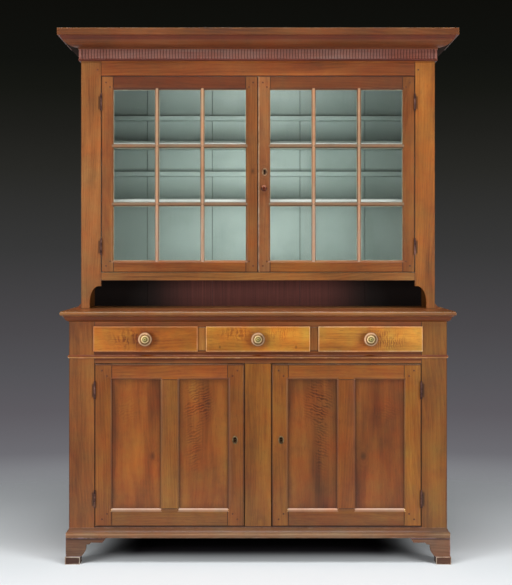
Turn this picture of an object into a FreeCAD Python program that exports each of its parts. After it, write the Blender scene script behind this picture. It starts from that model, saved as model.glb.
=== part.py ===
import FreeCAD, Part
import Sketcher
import math
import os
import re

# A two-part step back cupboard: a deep base with three drawers over two panelled doors, and a
# shallower glazed case that stands on its counter on two shaped feet, with an open space between.
#
# The frame: X runs across the front (0 on the middle), Y runs from the front (negative) to the back
# and Z is up from the floor. The origin is the middle of the floor area that the whole piece covers.
# All sizes are millimetres.

DOCUMENT = FreeCAD.newDocument("step_back_cupboard")
VECTOR = FreeCAD.Vector

# Driving sizes. Each can be changed by itself.
SIZES = {
    # carcass boards
    "base_width": 1540, "base_depth": 500, "upper_width": 1500, "upper_depth": 300,
    "side_thickness": 20, "frame_thickness": 22, "board_thickness": 18, "back_thickness": 12,
    "back_lap": 10, "back_seam": 0.8,
    # heights of the base, from the floor up
    "pad_height": 31, "bracket_height": 76, "bottom_rail_height": 45, "cupboard_height": 664,
    "middle_rail_height": 53, "drawer_opening": 94, "top_rail_height": 47, "counter_thickness": 20,
    # heights of the upper case, from the counter up
    "pie_space": 120, "upper_bottom_rail": 34, "glazed_height": 833, "frieze_rail": 170,
    "top_thickness": 18,
    # widths of the face frames
    "outer_stile": 104, "center_stile": 108, "divider_width": 42, "upper_stile": 85,
    # base: shelf and drawer runners
    "base_shelf_rise": 318, "base_shelf_setback": 60, "runner_width": 60, "runner_thickness": 20,
    "guide_height": 16,
    # bracket feet
    "foot_proud": 12, "foot_thickness": 20, "foot_ankle": 60, "foot_length": 165, "spur_drop": 19,
    "spur_slope": 16, "arch_rise": 48, "arch_reach": 22, "cusp_length": 15, "cusp_rise": 3,
    "cusp_step": 6, "glue_block": 34, "pad_side": 61, "pad_proud": 3,
    # mouldings: how far each stands out, and how tall it is
    "base_mould_height": 40, "base_mould_band": 20, "base_cove_radius": 24,
    "waist_rise": 21, "waist_height": 14, "waist_proud": 6, "waist_radius": 7.6,
    "counter_overhang": 34, "nosing_radius": 9.5, "counter_mould_height": 24, "counter_mould_proud": 22,
    "counter_mould_fillet": 4, "counter_cove_radius": 24,
    "seat_mould_width": 28, "seat_mould_height": 20, "seat_mould_fillet": 4, "seat_cove_radius": 27,
    "frieze_height": 41, "frieze_proud": 8, "bead_height": 9, "bead_proud": 12, "bead_radius": 4.9,
    "flute_pitch": 12.7, "flute_width": 9.4, "flute_depth": 3.2,
    "crown_height": 76, "crown_proud": 88, "crown_band": 29, "crown_soffit": 10, "crown_foot": 12,
    "crown_foot_height": 5, "crown_cove_radius": 66,
    # feet of the upper case's front stiles
    "stile_foot": 36, "foot_step": 10, "foot_step_drop": 24, "foot_arch_height": 72,
    # interior of the upper case
    "shelf_setback": 75, "shelf_show": 17, "plate_rail_rise": 110, "plate_rail_height": 20,
    "plate_rail_depth": 30, "first_back_board": 246, "second_back_board": 290,
    "third_back_board": 392, "fourth_back_board": 290,
    # doors
    "door_thickness": 22, "door_gap": 2, "meeting_gap": 3,
    "panel_door_stile": 68, "mullion_width": 78, "panel_top_rail": 64, "panel_bottom_rail": 70,
    "panel_sticking": 10, "panel_sticking_depth": 8, "panel_setback": 12, "panel_thickness": 7,
    "groove_depth": 9, "panel_play": 1, "groove_play": 0.1,
    "glazed_stile": 50, "glazed_top_rail": 56, "glazed_bottom_rail": 49, "glass_sticking": 8,
    "glass_sticking_depth": 7, "rebate_depth": 12, "rebate_width": 7, "glass_thickness": 2.5,
    "glass_lap": 5, "bar_width": 17, "bar_nose": 4, "bar_setback": 1.5, "bar_shoulder": 8,
    "bar_radius": 7, "bar_tongue": 6, "bar_depth": 20,
    # how far a cutter runs past the face that it goes through
    "overrun": 2,
    # butt hinges
    "hinge_length": 64, "leaf_width": 20, "leaf_thickness": 1.2, "knuckle_radius": 4.5,
    "pin_offset": 5, "pin_radius": 2.2, "pin_play": 0.05, "knuckle_gap": 0.4, "pin_head_radius": 3.8,
    "pin_head_height": 3, "upper_hinge_inset": 113, "upper_low_hinge_inset": 104,
    "lower_hinge_inset": 110, "lower_low_hinge_inset": 107,
    # locks, one for the glazed doors and one for each panelled door
    "upper_key_drop": 400, "upper_key_inset": 27, "lower_key_drop": 305, "lower_key_inset": 38,
    "key_radius": 4.2, "key_slot_width": 5, "key_slot_height": 14.5, "escutcheon_width": 23,
    "escutcheon_height": 33, "escutcheon_thickness": 1.2, "lock_width": 48, "lock_height": 46,
    "lock_depth": 13, "lock_inset": 1, "bolt_thickness": 5, "bolt_height": 13, "bolt_length": 34,
    "bolt_cover": 2, "bolt_play": 0.3,
    # turned knob of the glazed doors and the turn button behind it
    "latch_drop": 475, "latch_inset": 24, "spindle_radius": 5, "spindle_play": 0.08, "latch_play": 0.5,
    "button_thickness": 9, "button_width": 18, "button_reach": 44, "turned_neck": 6.5,
    "turned_radius": 13, "turned_length": 24, "turned_foot": 9.5, "turned_waist": 6,
    # drawers
    "drawer_lip": 8, "lip_cover": 4, "lip_gap": 0.3, "lip_radius": 4, "front_block": 14,
    "block_play": 1.5, "drawer_side": 12, "drawer_side_height": 86, "drawer_back_gap": 44,
    "drawer_bottom": 6, "bottom_rise": 8, "runner_gap": 0.3,
    # brass knobs
    "knob_reach": 32, "knob_radius": 28.5, "knob_rim": 3.5, "knob_plate": 15, "knob_plate_thickness": 1.6,
    "knob_neck": 6, "shank_radius": 3, "shank_play": 0.1, "nut_radius": 8, "nut_height": 5,
    "ring_outer": 21.5, "ring_inner": 14.5, "ring_crest": 2, "ring_rise": 3, "boss_radius": 8,
    "boss_top": 5, "boss_rise": 5.5,
}

# Places and shared sizes that follow from the driving sizes.
PLACES = {
    "front": "(drawer_lip + lip_gap + knob_reach - base_depth) / 2",
    "back": "front + base_depth",
    "base_half": "base_width / 2",
    "upper_front": "back - upper_depth",
    "upper_half": "upper_width / 2",
    "back_face": "back - back_thickness",
    "frame_back": "front + frame_thickness",
    "upper_frame_back": "upper_front + frame_thickness",
    "base_bottom": "pad_height + bracket_height",
    "cupboard_sill": "base_bottom + bottom_rail_height",
    "cupboard_head": "cupboard_sill + cupboard_height",
    "drawer_sill": "cupboard_head + middle_rail_height",
    "drawer_head": "drawer_sill + drawer_opening",
    "base_top": "drawer_head + top_rail_height",
    "counter_top": "base_top + counter_thickness",
    "pie_head": "counter_top + pie_space",
    "glazed_sill": "pie_head + upper_bottom_rail",
    "glazed_head": "glazed_sill + glazed_height",
    "upper_top": "glazed_head + frieze_rail",
    "cornice_top": "upper_top + top_thickness",
    "crown_bottom": "cornice_top - crown_height",
    "frieze_bottom": "crown_bottom - frieze_height",
    "opening_edge": "base_half - outer_stile",
    "upper_edge": "upper_half - upper_stile",
    "drawer_width": "(2 * opening_edge - 2 * divider_width) / 3",
    "divider_edge": "drawer_width / 2",
    "side_drawer_edge": "divider_edge + divider_width",
    "panel_door_inner": "center_stile / 2 + door_gap",
    "panel_door_outer": "opening_edge - door_gap",
    "panel_door_bottom": "cupboard_sill + door_gap",
    "panel_door_top": "cupboard_head - door_gap",
    "mullion_middle": "(panel_door_inner + panel_door_outer) / 2",
    "glazed_inner": "meeting_gap / 2",
    "glazed_outer": "upper_edge - door_gap",
    "glazed_bottom": "glazed_sill + door_gap",
    "glazed_top": "glazed_head - door_gap",
    "sight_left": "glazed_inner + glazed_stile",
    "sight_right": "glazed_outer - glazed_stile",
    "sight_bottom": "glazed_bottom + glazed_bottom_rail",
    "sight_top": "glazed_top - glazed_top_rail",
    "pane_width": "(sight_right - sight_left - 2 * bar_width) / 3",
    "pane_height": "(sight_top - sight_bottom - 2 * bar_width) / 3",
    "lip_back": "front - lip_gap",
    "lip_front": "lip_back - drawer_lip",
    "block_back": "lip_back + front_block",
    "upper_key_height": "glazed_top - upper_key_drop",
    "lower_key_height": "panel_door_top - lower_key_drop",
    "latch_height": "glazed_top - latch_drop",
    "latch_place": "glazed_inner + latch_inset",
}


def fill_sheet(name, cells):
    """Adds a spreadsheet with one named cell for each entry."""
    sheet = DOCUMENT.addObject("Spreadsheet::Sheet", name)
    for row, (alias, content) in enumerate(cells.items(), start=1):
        sheet.set(f"A{row}", alias)
        sheet.set(f"B{row}", content)
        sheet.setAlias(f"B{row}", alias)
    return sheet


def bound(text):
    """Turns plain names in a formula into references to the two sheets."""
    def reference(match):
        word = match.group(0)
        if word in SIZES:
            return "sizes." + word
        if word in PLACES:
            return "places." + word
        return word
    return re.sub(r"[a-z][a-z_]*", reference, text)


def place_formula(text):
    """A formula as it is written inside the sheet of places itself."""
    return "=" + bound(text).replace("places.", "")


SIZE_SHEET = fill_sheet("sizes", {alias: str(number) for alias, number in SIZES.items()})
PLACE_SHEET = fill_sheet("places", {alias: place_formula(formula) for alias, formula in PLACES.items()})
DOCUMENT.recompute()

NODES = []


def value(text):
    """The number that a formula gives now."""
    return float(SIZE_SHEET.evalExpression(bound(text)))


def bind(thing, **formulas):
    """Ties properties to formulas; a double underscore stands for a dot in a property's path."""
    for prop, formula in formulas.items():
        thing.setExpression(prop.replace("__", "."), bound(formula))
    return thing


def place(thing, x="0", y="0", z="0"):
    """Puts a thing at a place given by three formulas."""
    return bind(thing, Placement__Base__x=x, Placement__Base__y=y, Placement__Base__z=z)


def node(label, *pieces):
    """Names the piece, or the group of pieces, that is written as one file."""
    thing = pieces[0]
    if len(pieces) > 1:
        thing = DOCUMENT.addObject("Part::Compound", label)
        thing.Links = list(pieces)
    thing.Label = label
    NODES.append(thing)
    return thing


def board(name, x, y, z):
    """A straight board between two formulas along each axis."""
    thing = DOCUMENT.addObject("Part::Box", name)
    bind(thing, Length=f"({x[1]}) - ({x[0]})", Width=f"({y[1]}) - ({y[0]})", Height=f"({z[1]}) - ({z[0]})")
    return place(thing, x[0], y[0], z[0])


SIDES = {-1: "left", 1: "right"}


def signed(side, formula):
    """A distance from the middle as a place on the right (1) or the left (-1)."""
    return formula if side > 0 else f"-({formula})"


def on_side(side, near, far):
    """A range given from the middle outwards, on one side."""
    return (near, far) if side > 0 else (f"-({far})", f"-({near})")


def from_start(start, length):
    """A range that starts at one formula and is another long."""
    return (start, f"{start} + {length}")


def up_to(end, length):
    """A range that ends at one formula and is another long."""
    return (f"{end} - ({length})", end)


def around(middle, length):
    """A range that is centred on one formula and is another long."""
    return (f"{middle} - ({length}) / 2", f"{middle} + ({length}) / 2")


def widened(span, extra):
    return (f"{span[0]} - {extra}", f"{span[1]} + {extra}")


def fuse(name, *pieces):
    thing = DOCUMENT.addObject("Part::MultiFuse", name)
    thing.Shapes = list(pieces)
    return thing


def cut(name, piece, *tools):
    thing = DOCUMENT.addObject("Part::Cut", name)
    thing.Base = piece
    thing.Tool = tools[0] if len(tools) == 1 else fuse(name + "_tools", *tools)
    return thing


def shaped_board(name, x, y, z, *tools):
    """A board with voids cut from it."""
    return cut(name, board(name + "_plank", x, y, z), *tools)


def common(name, first, second):
    thing = DOCUMENT.addObject("Part::Common", name)
    thing.Base = first
    thing.Tool = second
    return thing


def cylinder(name, radius, length, x, y, z, along="z"):
    """A cylinder that starts at a place and runs along +Z or +Y."""
    thing = DOCUMENT.addObject("Part::Cylinder", name)
    bind(thing, Radius=radius, Height=length)
    if along == "y":
        thing.Placement = FreeCAD.Placement(VECTOR(), FreeCAD.Rotation(VECTOR(1, 0, 0), -90))
    return place(thing, x, y, z)


def oval_plate(name, tall, wide, x, y, z, thickness):
    """An upright oval, given by its half height and half width, pushed out towards the front."""
    curve = DOCUMENT.addObject("Part::Ellipse", name + "_curve")
    bind(curve, MajorRadius=tall, MinorRadius=wide)
    upright = FreeCAD.Rotation(VECTOR(0, 0, 1), VECTOR(1, 0, 0), VECTOR(0, -1, 0), "ZXY")
    curve.Placement = FreeCAD.Placement(VECTOR(), upright)
    place(curve, x, y, z)
    plate = DOCUMENT.addObject("Part::Extrusion", name)
    plate.Base = curve
    plate.DirMode = "Custom"
    plate.Dir = VECTOR(0, -1, 0)
    plate.Solid = True
    return bind(plate, LengthFwd=thickness)


def outline(body, name, role, corners):
    """A closed sketch on one of the body's planes. Each corner is two formulas; a third is the
    radius of the arc to the next corner, positive when it bulges to the left of the way there.
    A sketch keeps its arcs counterclockwise, so such an arc starts at its second end."""
    sketch = body.newObject("Sketcher::SketchObject", name)
    planes = {plane.Role: plane for plane in body.Origin.OriginFeatures}
    sketch.AttachmentSupport = (planes[role], "")
    sketch.MapMode = "FlatFace"
    points = [VECTOR(value(corner[0]), value(corner[1]), 0) for corner in corners]
    heads = []
    for index, corner in enumerate(corners):
        start, end = points[index], points[(index + 1) % len(points)]
        edge = Part.LineSegment(start, end)
        if len(corner) == 3:
            radius = value(corner[2])
            chord = end - start
            rise = abs(radius) - math.sqrt(max(radius ** 2 - chord.Length ** 2 / 4, 0))
            sideways = VECTOR(-chord.y, chord.x, 0).normalize() * math.copysign(rise, radius)
            edge = Part.Arc(start, (start + end) * 0.5 + sideways, end)
        sketch.addGeometry(edge, False)
        is_clockwise = len(corner) == 3 and radius > 0
        heads.append(2 if is_clockwise else 1)
    rules, formulas = [], []
    for index, corner in enumerate(corners):
        after = (index + 1) % len(corners)
        rules.append(Sketcher.Constraint("Coincident", index, 3 - heads[index], after, heads[after]))
        for axis, kind in enumerate(("DistanceX", "DistanceY")):
            if corner[axis] == "0":
                rules.append(Sketcher.Constraint("PointOnObject", index, heads[index], axis - 2))
                continue
            formulas.append((len(rules), corner[axis]))
            rules.append(Sketcher.Constraint(kind, -1, 1, index, heads[index], points[index][axis]))
        if len(corner) == 3:
            formulas.append((len(rules), f"abs({corner[2]})"))
            rules.append(Sketcher.Constraint("Radius", index, abs(value(corner[2]))))
    sketch.addConstraint(rules)
    for number, formula in formulas:
        sketch.setExpression(f"Constraints[{number}]", bound(formula))
    return sketch


def extruded(name, role, corners, length, midplane=False, backwards=False):
    """A body that is one outline pushed out along its plane's normal."""
    body = DOCUMENT.addObject("PartDesign::Body", name)
    pad = body.newObject("PartDesign::Pad", name + "_pad")
    pad.Profile = outline(body, name + "_outline", role, corners)
    pad.Midplane = midplane
    pad.Reversed = backwards
    bind(pad, Length=length)
    return body


def turned(name, corners):
    """A body turned about its own Y axis from an outline of distances along Y and radii."""
    body = DOCUMENT.addObject("PartDesign::Body", name)
    sketch = outline(body, name + "_outline", "YZ_Plane", corners)
    turning = body.newObject("PartDesign::Revolution", name + "_turning")
    turning.Profile = sketch
    turning.ReferenceAxis = (sketch, ["H_Axis"])
    turning.Angle = 360
    return body


def rounded_board(name, x, y, z, radius, is_rounded):
    """A board whose chosen edges are rounded; is_rounded looks at the middle of each edge."""
    body = DOCUMENT.addObject("PartDesign::Body", name)
    block = body.newObject("PartDesign::AdditiveBox", name + "_block")
    bind(block, Length=f"({x[1]}) - ({x[0]})", Width=f"({y[1]}) - ({y[0]})", Height=f"({z[1]}) - ({z[0]})")
    DOCUMENT.recompute()
    edges = []
    for number, edge in enumerate(block.Shape.Edges, start=1):
        middle = edge.valueAt((edge.FirstParameter + edge.LastParameter) / 2)
        if is_rounded(middle, block.Shape.BoundBox):
            edges.append(f"Edge{number}")
    rounding = body.newObject("PartDesign::Fillet", name + "_rounding")
    rounding.Base = (block, edges)
    bind(rounding, Radius=radius)
    return place(body, x[0], y[0], z[0])


def mitre_block(name, half, face, reach, low, height):
    """The plan area in front of a case that its front moulding fills, between the two mitres."""
    wedge = DOCUMENT.addObject("Part::Wedge", name)
    bind(wedge, Xmin=f"-({half}) - ({reach})", Xmax=f"({half}) + ({reach})", Ymin=f"-({reach})", Ymax="0")
    bind(wedge, X2min=f"-({half})", X2max=half, Zmin="0", Zmax=height, Z2min="0", Z2max=height)
    return place(wedge, "0", face, low)


def mirrored(corners):
    """The same section facing the other way: the first formula changes sign and arcs bend back."""
    section = []
    for corner in corners:
        across = corner[0] if corner[0] == "0" else f"-({corner[0]})"
        arc = [f"-({corner[2]})"] if len(corner) == 3 else []
        section.append((across, corner[1], *arc))
    return section


def moulding(name, corners, half, face, reach, low, height):
    """A front run and two side runs of one section, mitred at the front corners. The section's
    corners are how far they stand out from the case and how high they are above low."""
    block = mitre_block(name + "_mitres", half, face, reach, low, height)
    length = f"2 * (({half}) + ({reach}))"
    bar = extruded(name + "_bar", "YZ_Plane", mirrored(corners), length, midplane=True)
    runs = [common(name + "_front", place(bar, "0", face, low), block)]
    for side, word in SIDES.items():
        section = corners if side > 0 else mirrored(corners)
        run = extruded(f"{name}_{word}_bar", "XZ_Plane", section, f"back - ({face}) + ({reach})")
        place(run, signed(side, half), "back", low)
        runs.append(cut(f"{name}_{word}", run, block))
    return runs


def hinge_seats(name, side, edge, face, heights):
    """The shallow seats of a stile's hinge leaves; edge is their range along X."""
    return [board(f"{name}_{row}_seat", on_side(side, *edge), from_start(face, "leaf_width"),
                  around(height, "hinge_length"))
            for row, height in heights.items()]


LOWER_HINGES = {"top": "panel_door_top - lower_hinge_inset",
                "bottom": "panel_door_bottom + lower_low_hinge_inset"}
UPPER_HINGES = {"top": "glazed_top - upper_hinge_inset", "bottom": "glazed_bottom + upper_low_hinge_inset"}


# ---------------------------------------------------------------------------------------------
# Base: carcass
# ---------------------------------------------------------------------------------------------

BASE_INSIDE = "base_half - side_thickness"
UPPER_INSIDE = "upper_half - side_thickness"
BASE_FRAME = ("front", "frame_back")
UPPER_FRAME = ("upper_front", "upper_frame_back")
TO_BACKBOARDS = ("frame_back", "back_face")


def rebated_sides(name, half, inside, front_edge, height):
    """The two sides of a case, each with a rebate along its back edge for the backboards."""
    sides = []
    for side, word in SIDES.items():
        plank = board(f"{name}_{word}_plank", on_side(side, inside, half), (front_edge, "back"), height)
        rebate = board(f"{name}_{word}_rebate", on_side(side, *from_start(inside, "back_lap")),
                       ("back_face", "back"), height)
        sides.append(cut(f"{name}_{word}", plank, rebate))
    return sides


def between_sides(name, inside, depth, height):
    """A board that runs from side to side inside a case."""
    return board(name, (f"-({inside})", inside), depth, height)


def back_boards(name, half, widths, height):
    """Upright boards side by side in the rebates of the sides, with a fine seam between them.
    The last one fills what is left."""
    boards = []
    start = f"-({half})"
    for number, width in enumerate(widths, start=1):
        end = f"{start} + {width}"
        boards.append(board(f"{name}_{number}", (start, end + " - back_seam"), ("back_face", "back"), height))
        start = end
    boards.append(board(name + "_last", (start, half), ("back_face", "back"), height))
    return boards


def base_stiles():
    stiles = []
    for side, word in SIDES.items():
        name = f"base_stile_{word}"
        plank = board(name + "_plank", on_side(side, "opening_edge", "base_half"), BASE_FRAME,
                      ("base_bottom", "base_top"))
        seat = from_start("opening_edge", "leaf_thickness")
        stiles.append(cut(name, plank, *hinge_seats(name, side, seat, "front", LOWER_HINGES)))
    stiles.append(board("base_stile_center", around("0", "center_stile"), BASE_FRAME,
                        ("cupboard_sill", "cupboard_head")))
    return stiles


def base_rails():
    levels = {"bottom": ("base_bottom", "cupboard_sill"), "middle": ("cupboard_head", "drawer_sill"),
              "top": ("drawer_head", "base_top")}
    return [board(f"base_rail_{word}", ("-opening_edge", "opening_edge"), BASE_FRAME, level)
            for word, level in levels.items()]


def drawer_dividers():
    return [board(f"drawer_divider_{word}", on_side(side, "divider_edge", "side_drawer_edge"), BASE_FRAME,
                  ("drawer_sill", "drawer_head"))
            for side, word in SIDES.items()]


def base_shelves():
    """The bottom board, level with the cupboard's sill, and one shelf set back from the doors."""
    shelf = from_start("cupboard_sill + base_shelf_rise", "board_thickness")
    floor = up_to("cupboard_sill", "board_thickness")
    set_back = ("frame_back + base_shelf_setback", "back_face")
    return [between_sides("bottom_board", BASE_INSIDE, TO_BACKBOARDS, floor),
            between_sides("lower_shelf", BASE_INSIDE, set_back, shelf)]


def drawer_runners():
    """Runners under the drawers' sides, and guides on them that keep the drawers straight."""
    under, beside = up_to("drawer_sill", "runner_thickness"), from_start("drawer_sill", "guide_height")
    inner_edge = f"{BASE_INSIDE} - runner_width - outer_stile + side_thickness"
    places = {"outer": ((inner_edge, BASE_INSIDE), ("opening_edge", BASE_INSIDE)),
              "inner": (widened(("divider_edge", "side_drawer_edge"), "runner_width / 2"),
                        ("divider_edge", "side_drawer_edge"))}
    pieces = []
    for side, word in SIDES.items():
        for end, (runner, guide) in places.items():
            pieces.append(board(f"runner_{word}_{end}", on_side(side, *runner), TO_BACKBOARDS, under))
            pieces.append(board(f"guide_{word}_{end}", on_side(side, *guide), TO_BACKBOARDS, beside))
    return pieces


# ---------------------------------------------------------------------------------------------
# Base: feet, mouldings and counter
# ---------------------------------------------------------------------------------------------

FOOT_EDGE = "base_half + foot_proud"
FOOT_FACE = "front - foot_proud"


def foot_bracket(name, role, direction, x, y):
    """One shaped board of a bracket foot. Its outline runs from the foot's outer edge: a straight
    ankle, a quarter hollow, a small cusp and a spur under the case."""
    cusp_end = "foot_ankle + arch_reach + cusp_length"
    ledge = "bracket_height - spur_drop"
    shape = [("0", "0"), ("foot_ankle", "0", "-arch_rise"), ("foot_ankle + arch_reach", "arch_rise"),
             (cusp_end, "arch_rise + cusp_rise"), (cusp_end + " + cusp_step", ledge),
             ("foot_length - spur_slope", ledge), ("foot_length", "bracket_height"), ("0", "bracket_height")]
    shape = shape if direction > 0 else mirrored(shape)
    return place(extruded(name, role, shape, "foot_thickness"), x, y, "pad_height")


def bracket_feet():
    """Front feet of two mitred brackets, back feet of one, each with a glue block in its corner."""
    feet = []
    inner, inner_face = f"{FOOT_EDGE} - foot_thickness", f"{FOOT_FACE} + foot_thickness"
    block = mitre_block("foot_mitres", inner, inner_face, "foot_thickness", "pad_height", "bracket_height")
    for side, word in SIDES.items():
        name = f"foot_{word}"
        facing = foot_bracket(name + "_front_board", "XZ_Plane", -side, signed(side, FOOT_EDGE), inner_face)
        flank_start = on_side(side, inner, FOOT_EDGE)[0]
        flank = foot_bracket(name + "_side_board", "YZ_Plane", 1, flank_start, FOOT_FACE)
        feet += [common(name + "_front", facing, block), cut(name + "_side", flank, block),
                 foot_bracket(name + "_back", "YZ_Plane", -1, flank_start, "back")]
        across = on_side(side, *up_to(inner, "glue_block"))
        corners = {"front": from_start(inner_face, "glue_block"), "back": up_to("back", "glue_block")}
        for end, deep in corners.items():
            feet.append(board(f"{name}_{end}_block", across, deep, ("pad_height", "base_bottom")))
    return feet


def foot_pads():
    """Square pads under the feet, a little prouder than them."""
    rows = {"front": from_start(f"{FOOT_FACE} - pad_proud", "pad_side"), "back": up_to("back", "pad_side")}
    return [board(f"pad_{word}_{end}", on_side(side, *up_to(f"{FOOT_EDGE} + pad_proud", "pad_side")), deep,
                  ("0", "pad_height"))
            for side, word in SIDES.items() for end, deep in rows.items()]


def base_moulding():
    section = [("0", "0"), ("foot_proud", "0"), ("foot_proud", "base_mould_band", "base_cove_radius"),
               ("0", "base_mould_height")]
    return moulding("base_mould", section, "base_half", "front", "foot_proud", "base_bottom",
                    "base_mould_height")


def waist_bead():
    section = [("0", "0", "-waist_radius"), ("0", "waist_height")]
    return moulding("waist", section, "base_half", "front", "waist_proud", "cupboard_head + waist_rise",
                    "waist_height")


def counter_moulding():
    proud, tall, step = "counter_mould_proud", "counter_mould_height", "counter_mould_fillet"
    section = [("0", "0", "-counter_cove_radius"), (f"{proud} - {step}", f"{tall} - {step}"),
               (proud, f"{tall} - {step}"), (proud, tall), ("0", tall)]
    return moulding("counter_mould", section, "base_half", "front", proud, f"base_top - {tall}", tall)


def is_touching(first, second):
    return abs(first - second) < 0.01


def countertop():
    """The counter's board, its nosing rounded along the front and both ends."""
    def is_nosing(middle, box):
        at_end = is_touching(middle.x, box.XMin) or is_touching(middle.x, box.XMax)
        at_level = is_touching(middle.z, box.ZMin) or is_touching(middle.z, box.ZMax)
        return at_level and (at_end or is_touching(middle.y, box.YMin))
    half = "(base_half + counter_overhang)"
    return rounded_board("countertop_board", (f"-{half}", half), ("front - counter_overhang", "back"),
                         ("base_top", "counter_top"), "nosing_radius", is_nosing)


def seat_moulding():
    """The coves that hold the upper case in place along each side of its foot."""
    wide, tall, step = "seat_mould_width", "seat_mould_height", "seat_mould_fillet"
    section = [("0", "0"), (wide, "0"), (wide, step, "seat_cove_radius"), (step, tall), ("0", tall)]
    runs = []
    for side, word in SIDES.items():
        shape = section if side > 0 else mirrored(section)
        run = extruded(f"seat_mould_{word}", "XZ_Plane", shape, "upper_depth")
        runs.append(place(run, signed(side, "upper_half"), "back", "counter_top"))
    return runs


# ---------------------------------------------------------------------------------------------
# Upper case
# ---------------------------------------------------------------------------------------------

def upper_stiles():
    """Front stiles that run down to the counter, cut to a quarter oval over the open space."""
    stiles = []
    arch_top = "pie_head - foot_step_drop"
    spring = f"{arch_top} - foot_arch_height"
    arch_edge = "upper_edge + foot_step"
    foot_inside = "upper_half - stile_foot"
    for side, word in SIDES.items():
        name = f"upper_stile_{word}"
        plank = board(name + "_plank", on_side(side, "upper_edge", "upper_half"), UPPER_FRAME,
                      ("counter_top", "upper_top"))
        seat = from_start("upper_edge", "leaf_thickness")
        seats = hinge_seats(name, side, seat, "upper_front", UPPER_HINGES)
        step = board(name + "_step", on_side(side, "upper_edge", arch_edge), UPPER_FRAME,
                     ("counter_top", arch_top))
        straight = board(name + "_straight", on_side(side, "upper_edge", foot_inside), UPPER_FRAME,
                         ("counter_top", spring))
        arch = oval_plate(name + "_arch", "foot_arch_height", f"{foot_inside} - ({arch_edge})",
                          signed(side, arch_edge), "upper_frame_back", spring, "frame_thickness")
        stiles.append(cut(name, plank, *seats, step, straight, arch))
    return stiles


def upper_rails():
    across = ("-upper_edge", "upper_edge")
    return [board("upper_rail_bottom", across, UPPER_FRAME, ("pie_head", "glazed_sill")),
            board("upper_rail_frieze", across, UPPER_FRAME, ("glazed_head", "upper_top"))]


def shelf_top(number):
    """A shelf's front edge shows just over the doors' cross bar of the same number."""
    return f"sight_bottom + {number} * (pane_height + bar_width) + shelf_show"


def upper_shelves():
    """Two shelves, and over each a strip on the backboards that keeps standing plates from slipping."""
    pieces = []
    shelf_deep = ("upper_front + shelf_setback", "back_face")
    rail_deep = up_to("back_face", "plate_rail_depth")
    for number in (1, 2):
        shelf = up_to(shelf_top(number), "board_thickness")
        rail = from_start(f"{shelf_top(number)} + plate_rail_rise", "plate_rail_height")
        pieces.append(between_sides(f"upper_shelf_{number}", UPPER_INSIDE, shelf_deep, shelf))
        pieces.append(between_sides(f"plate_rail_{number}", UPPER_INSIDE, rail_deep, rail))
    return pieces


def crown_moulding():
    rise = "crown_height - crown_band"
    section = [("0", "0"), ("crown_foot", "0"), ("crown_foot", "crown_foot_height", "-crown_cove_radius"),
               ("crown_proud - crown_soffit", rise), ("crown_proud", rise), ("crown_proud", "crown_height"),
               ("0", "crown_height")]
    return moulding("crown", section, "upper_half", "upper_front", "crown_proud", "crown_bottom",
                    "crown_height")


def fluted_run(name, length, plan, origin, turn):
    """A frieze board with upright flutes, drawn in plan along X with its face towards -Y, raised to
    the frieze's height and trimmed at its ends to the given plan."""
    depth, pitch, tall = value("frieze_proud"), value("flute_pitch"), VECTOR(0, 0, value("frieze_height"))
    half_flute, sink = value("flute_width") / 2, value("flute_depth")
    count = int((length - pitch) / pitch)
    corner = VECTOR(-length / 2, -depth, 0)
    edges = []
    for number in range(count):
        middle = (number - (count - 1) / 2) * pitch
        left, right = VECTOR(middle - half_flute, -depth, 0), VECTOR(middle + half_flute, -depth, 0)
        edges.append(Part.LineSegment(corner, left).toShape())
        edges.append(Part.Arc(left, VECTOR(middle, sink - depth, 0), right).toShape())
        corner = right
    for x, y in ((length / 2, -depth), (length / 2, 0), (-length / 2, 0), (-length / 2, -depth)):
        edges.append(Part.LineSegment(corner, VECTOR(x, y, 0)).toShape())
        corner = VECTOR(x, y, 0)
    outer = Part.makePolygon([VECTOR(*point, 0) for point in plan + plan[:1]])
    run = DOCUMENT.addObject("Part::Feature", name)
    run.Shape = Part.Face(Part.Wire(edges)).extrude(tall).common(Part.Face(outer).extrude(tall))
    run.Placement = FreeCAD.Placement(origin, FreeCAD.Rotation(VECTOR(0, 0, 1), turn))
    return run


def fluted_frieze():
    """Fluted boards across the front and back along the sides, with a bead planted under them."""
    half, depth, face = value("upper_half"), value("frieze_proud"), value("upper_front")
    level = value("frieze_bottom")
    wide, deep = half + depth, (value("upper_depth") + depth) / 2
    front_plan = [(-wide, -depth), (wide, -depth), (half, 0), (-half, 0)]
    side_plans = {-1: [(-deep, -depth), (deep, -depth), (deep - depth, 0), (-deep, 0)],
                  1: [(-deep, -depth), (deep, -depth), (deep, 0), (depth - deep, 0)]}
    runs = [fluted_run("frieze_front", 2 * wide, front_plan, VECTOR(0, face, level), 0)]
    for side, word in SIDES.items():
        origin = VECTOR(side * half, value("back") - deep, level)
        runs.append(fluted_run(f"frieze_{word}", 2 * deep, side_plans[side], origin, 90 * side))
    flat = "bead_proud - bead_height / 2"
    section = [("0", "0"), (flat, "0", "-bead_radius"), (flat, "bead_height"), ("0", "bead_height")]
    return runs + moulding("bead", section, "upper_half", "upper_front", "bead_proud",
                           "frieze_bottom - bead_height", "bead_height")


# ---------------------------------------------------------------------------------------------
# Door furniture
# ---------------------------------------------------------------------------------------------

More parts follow.
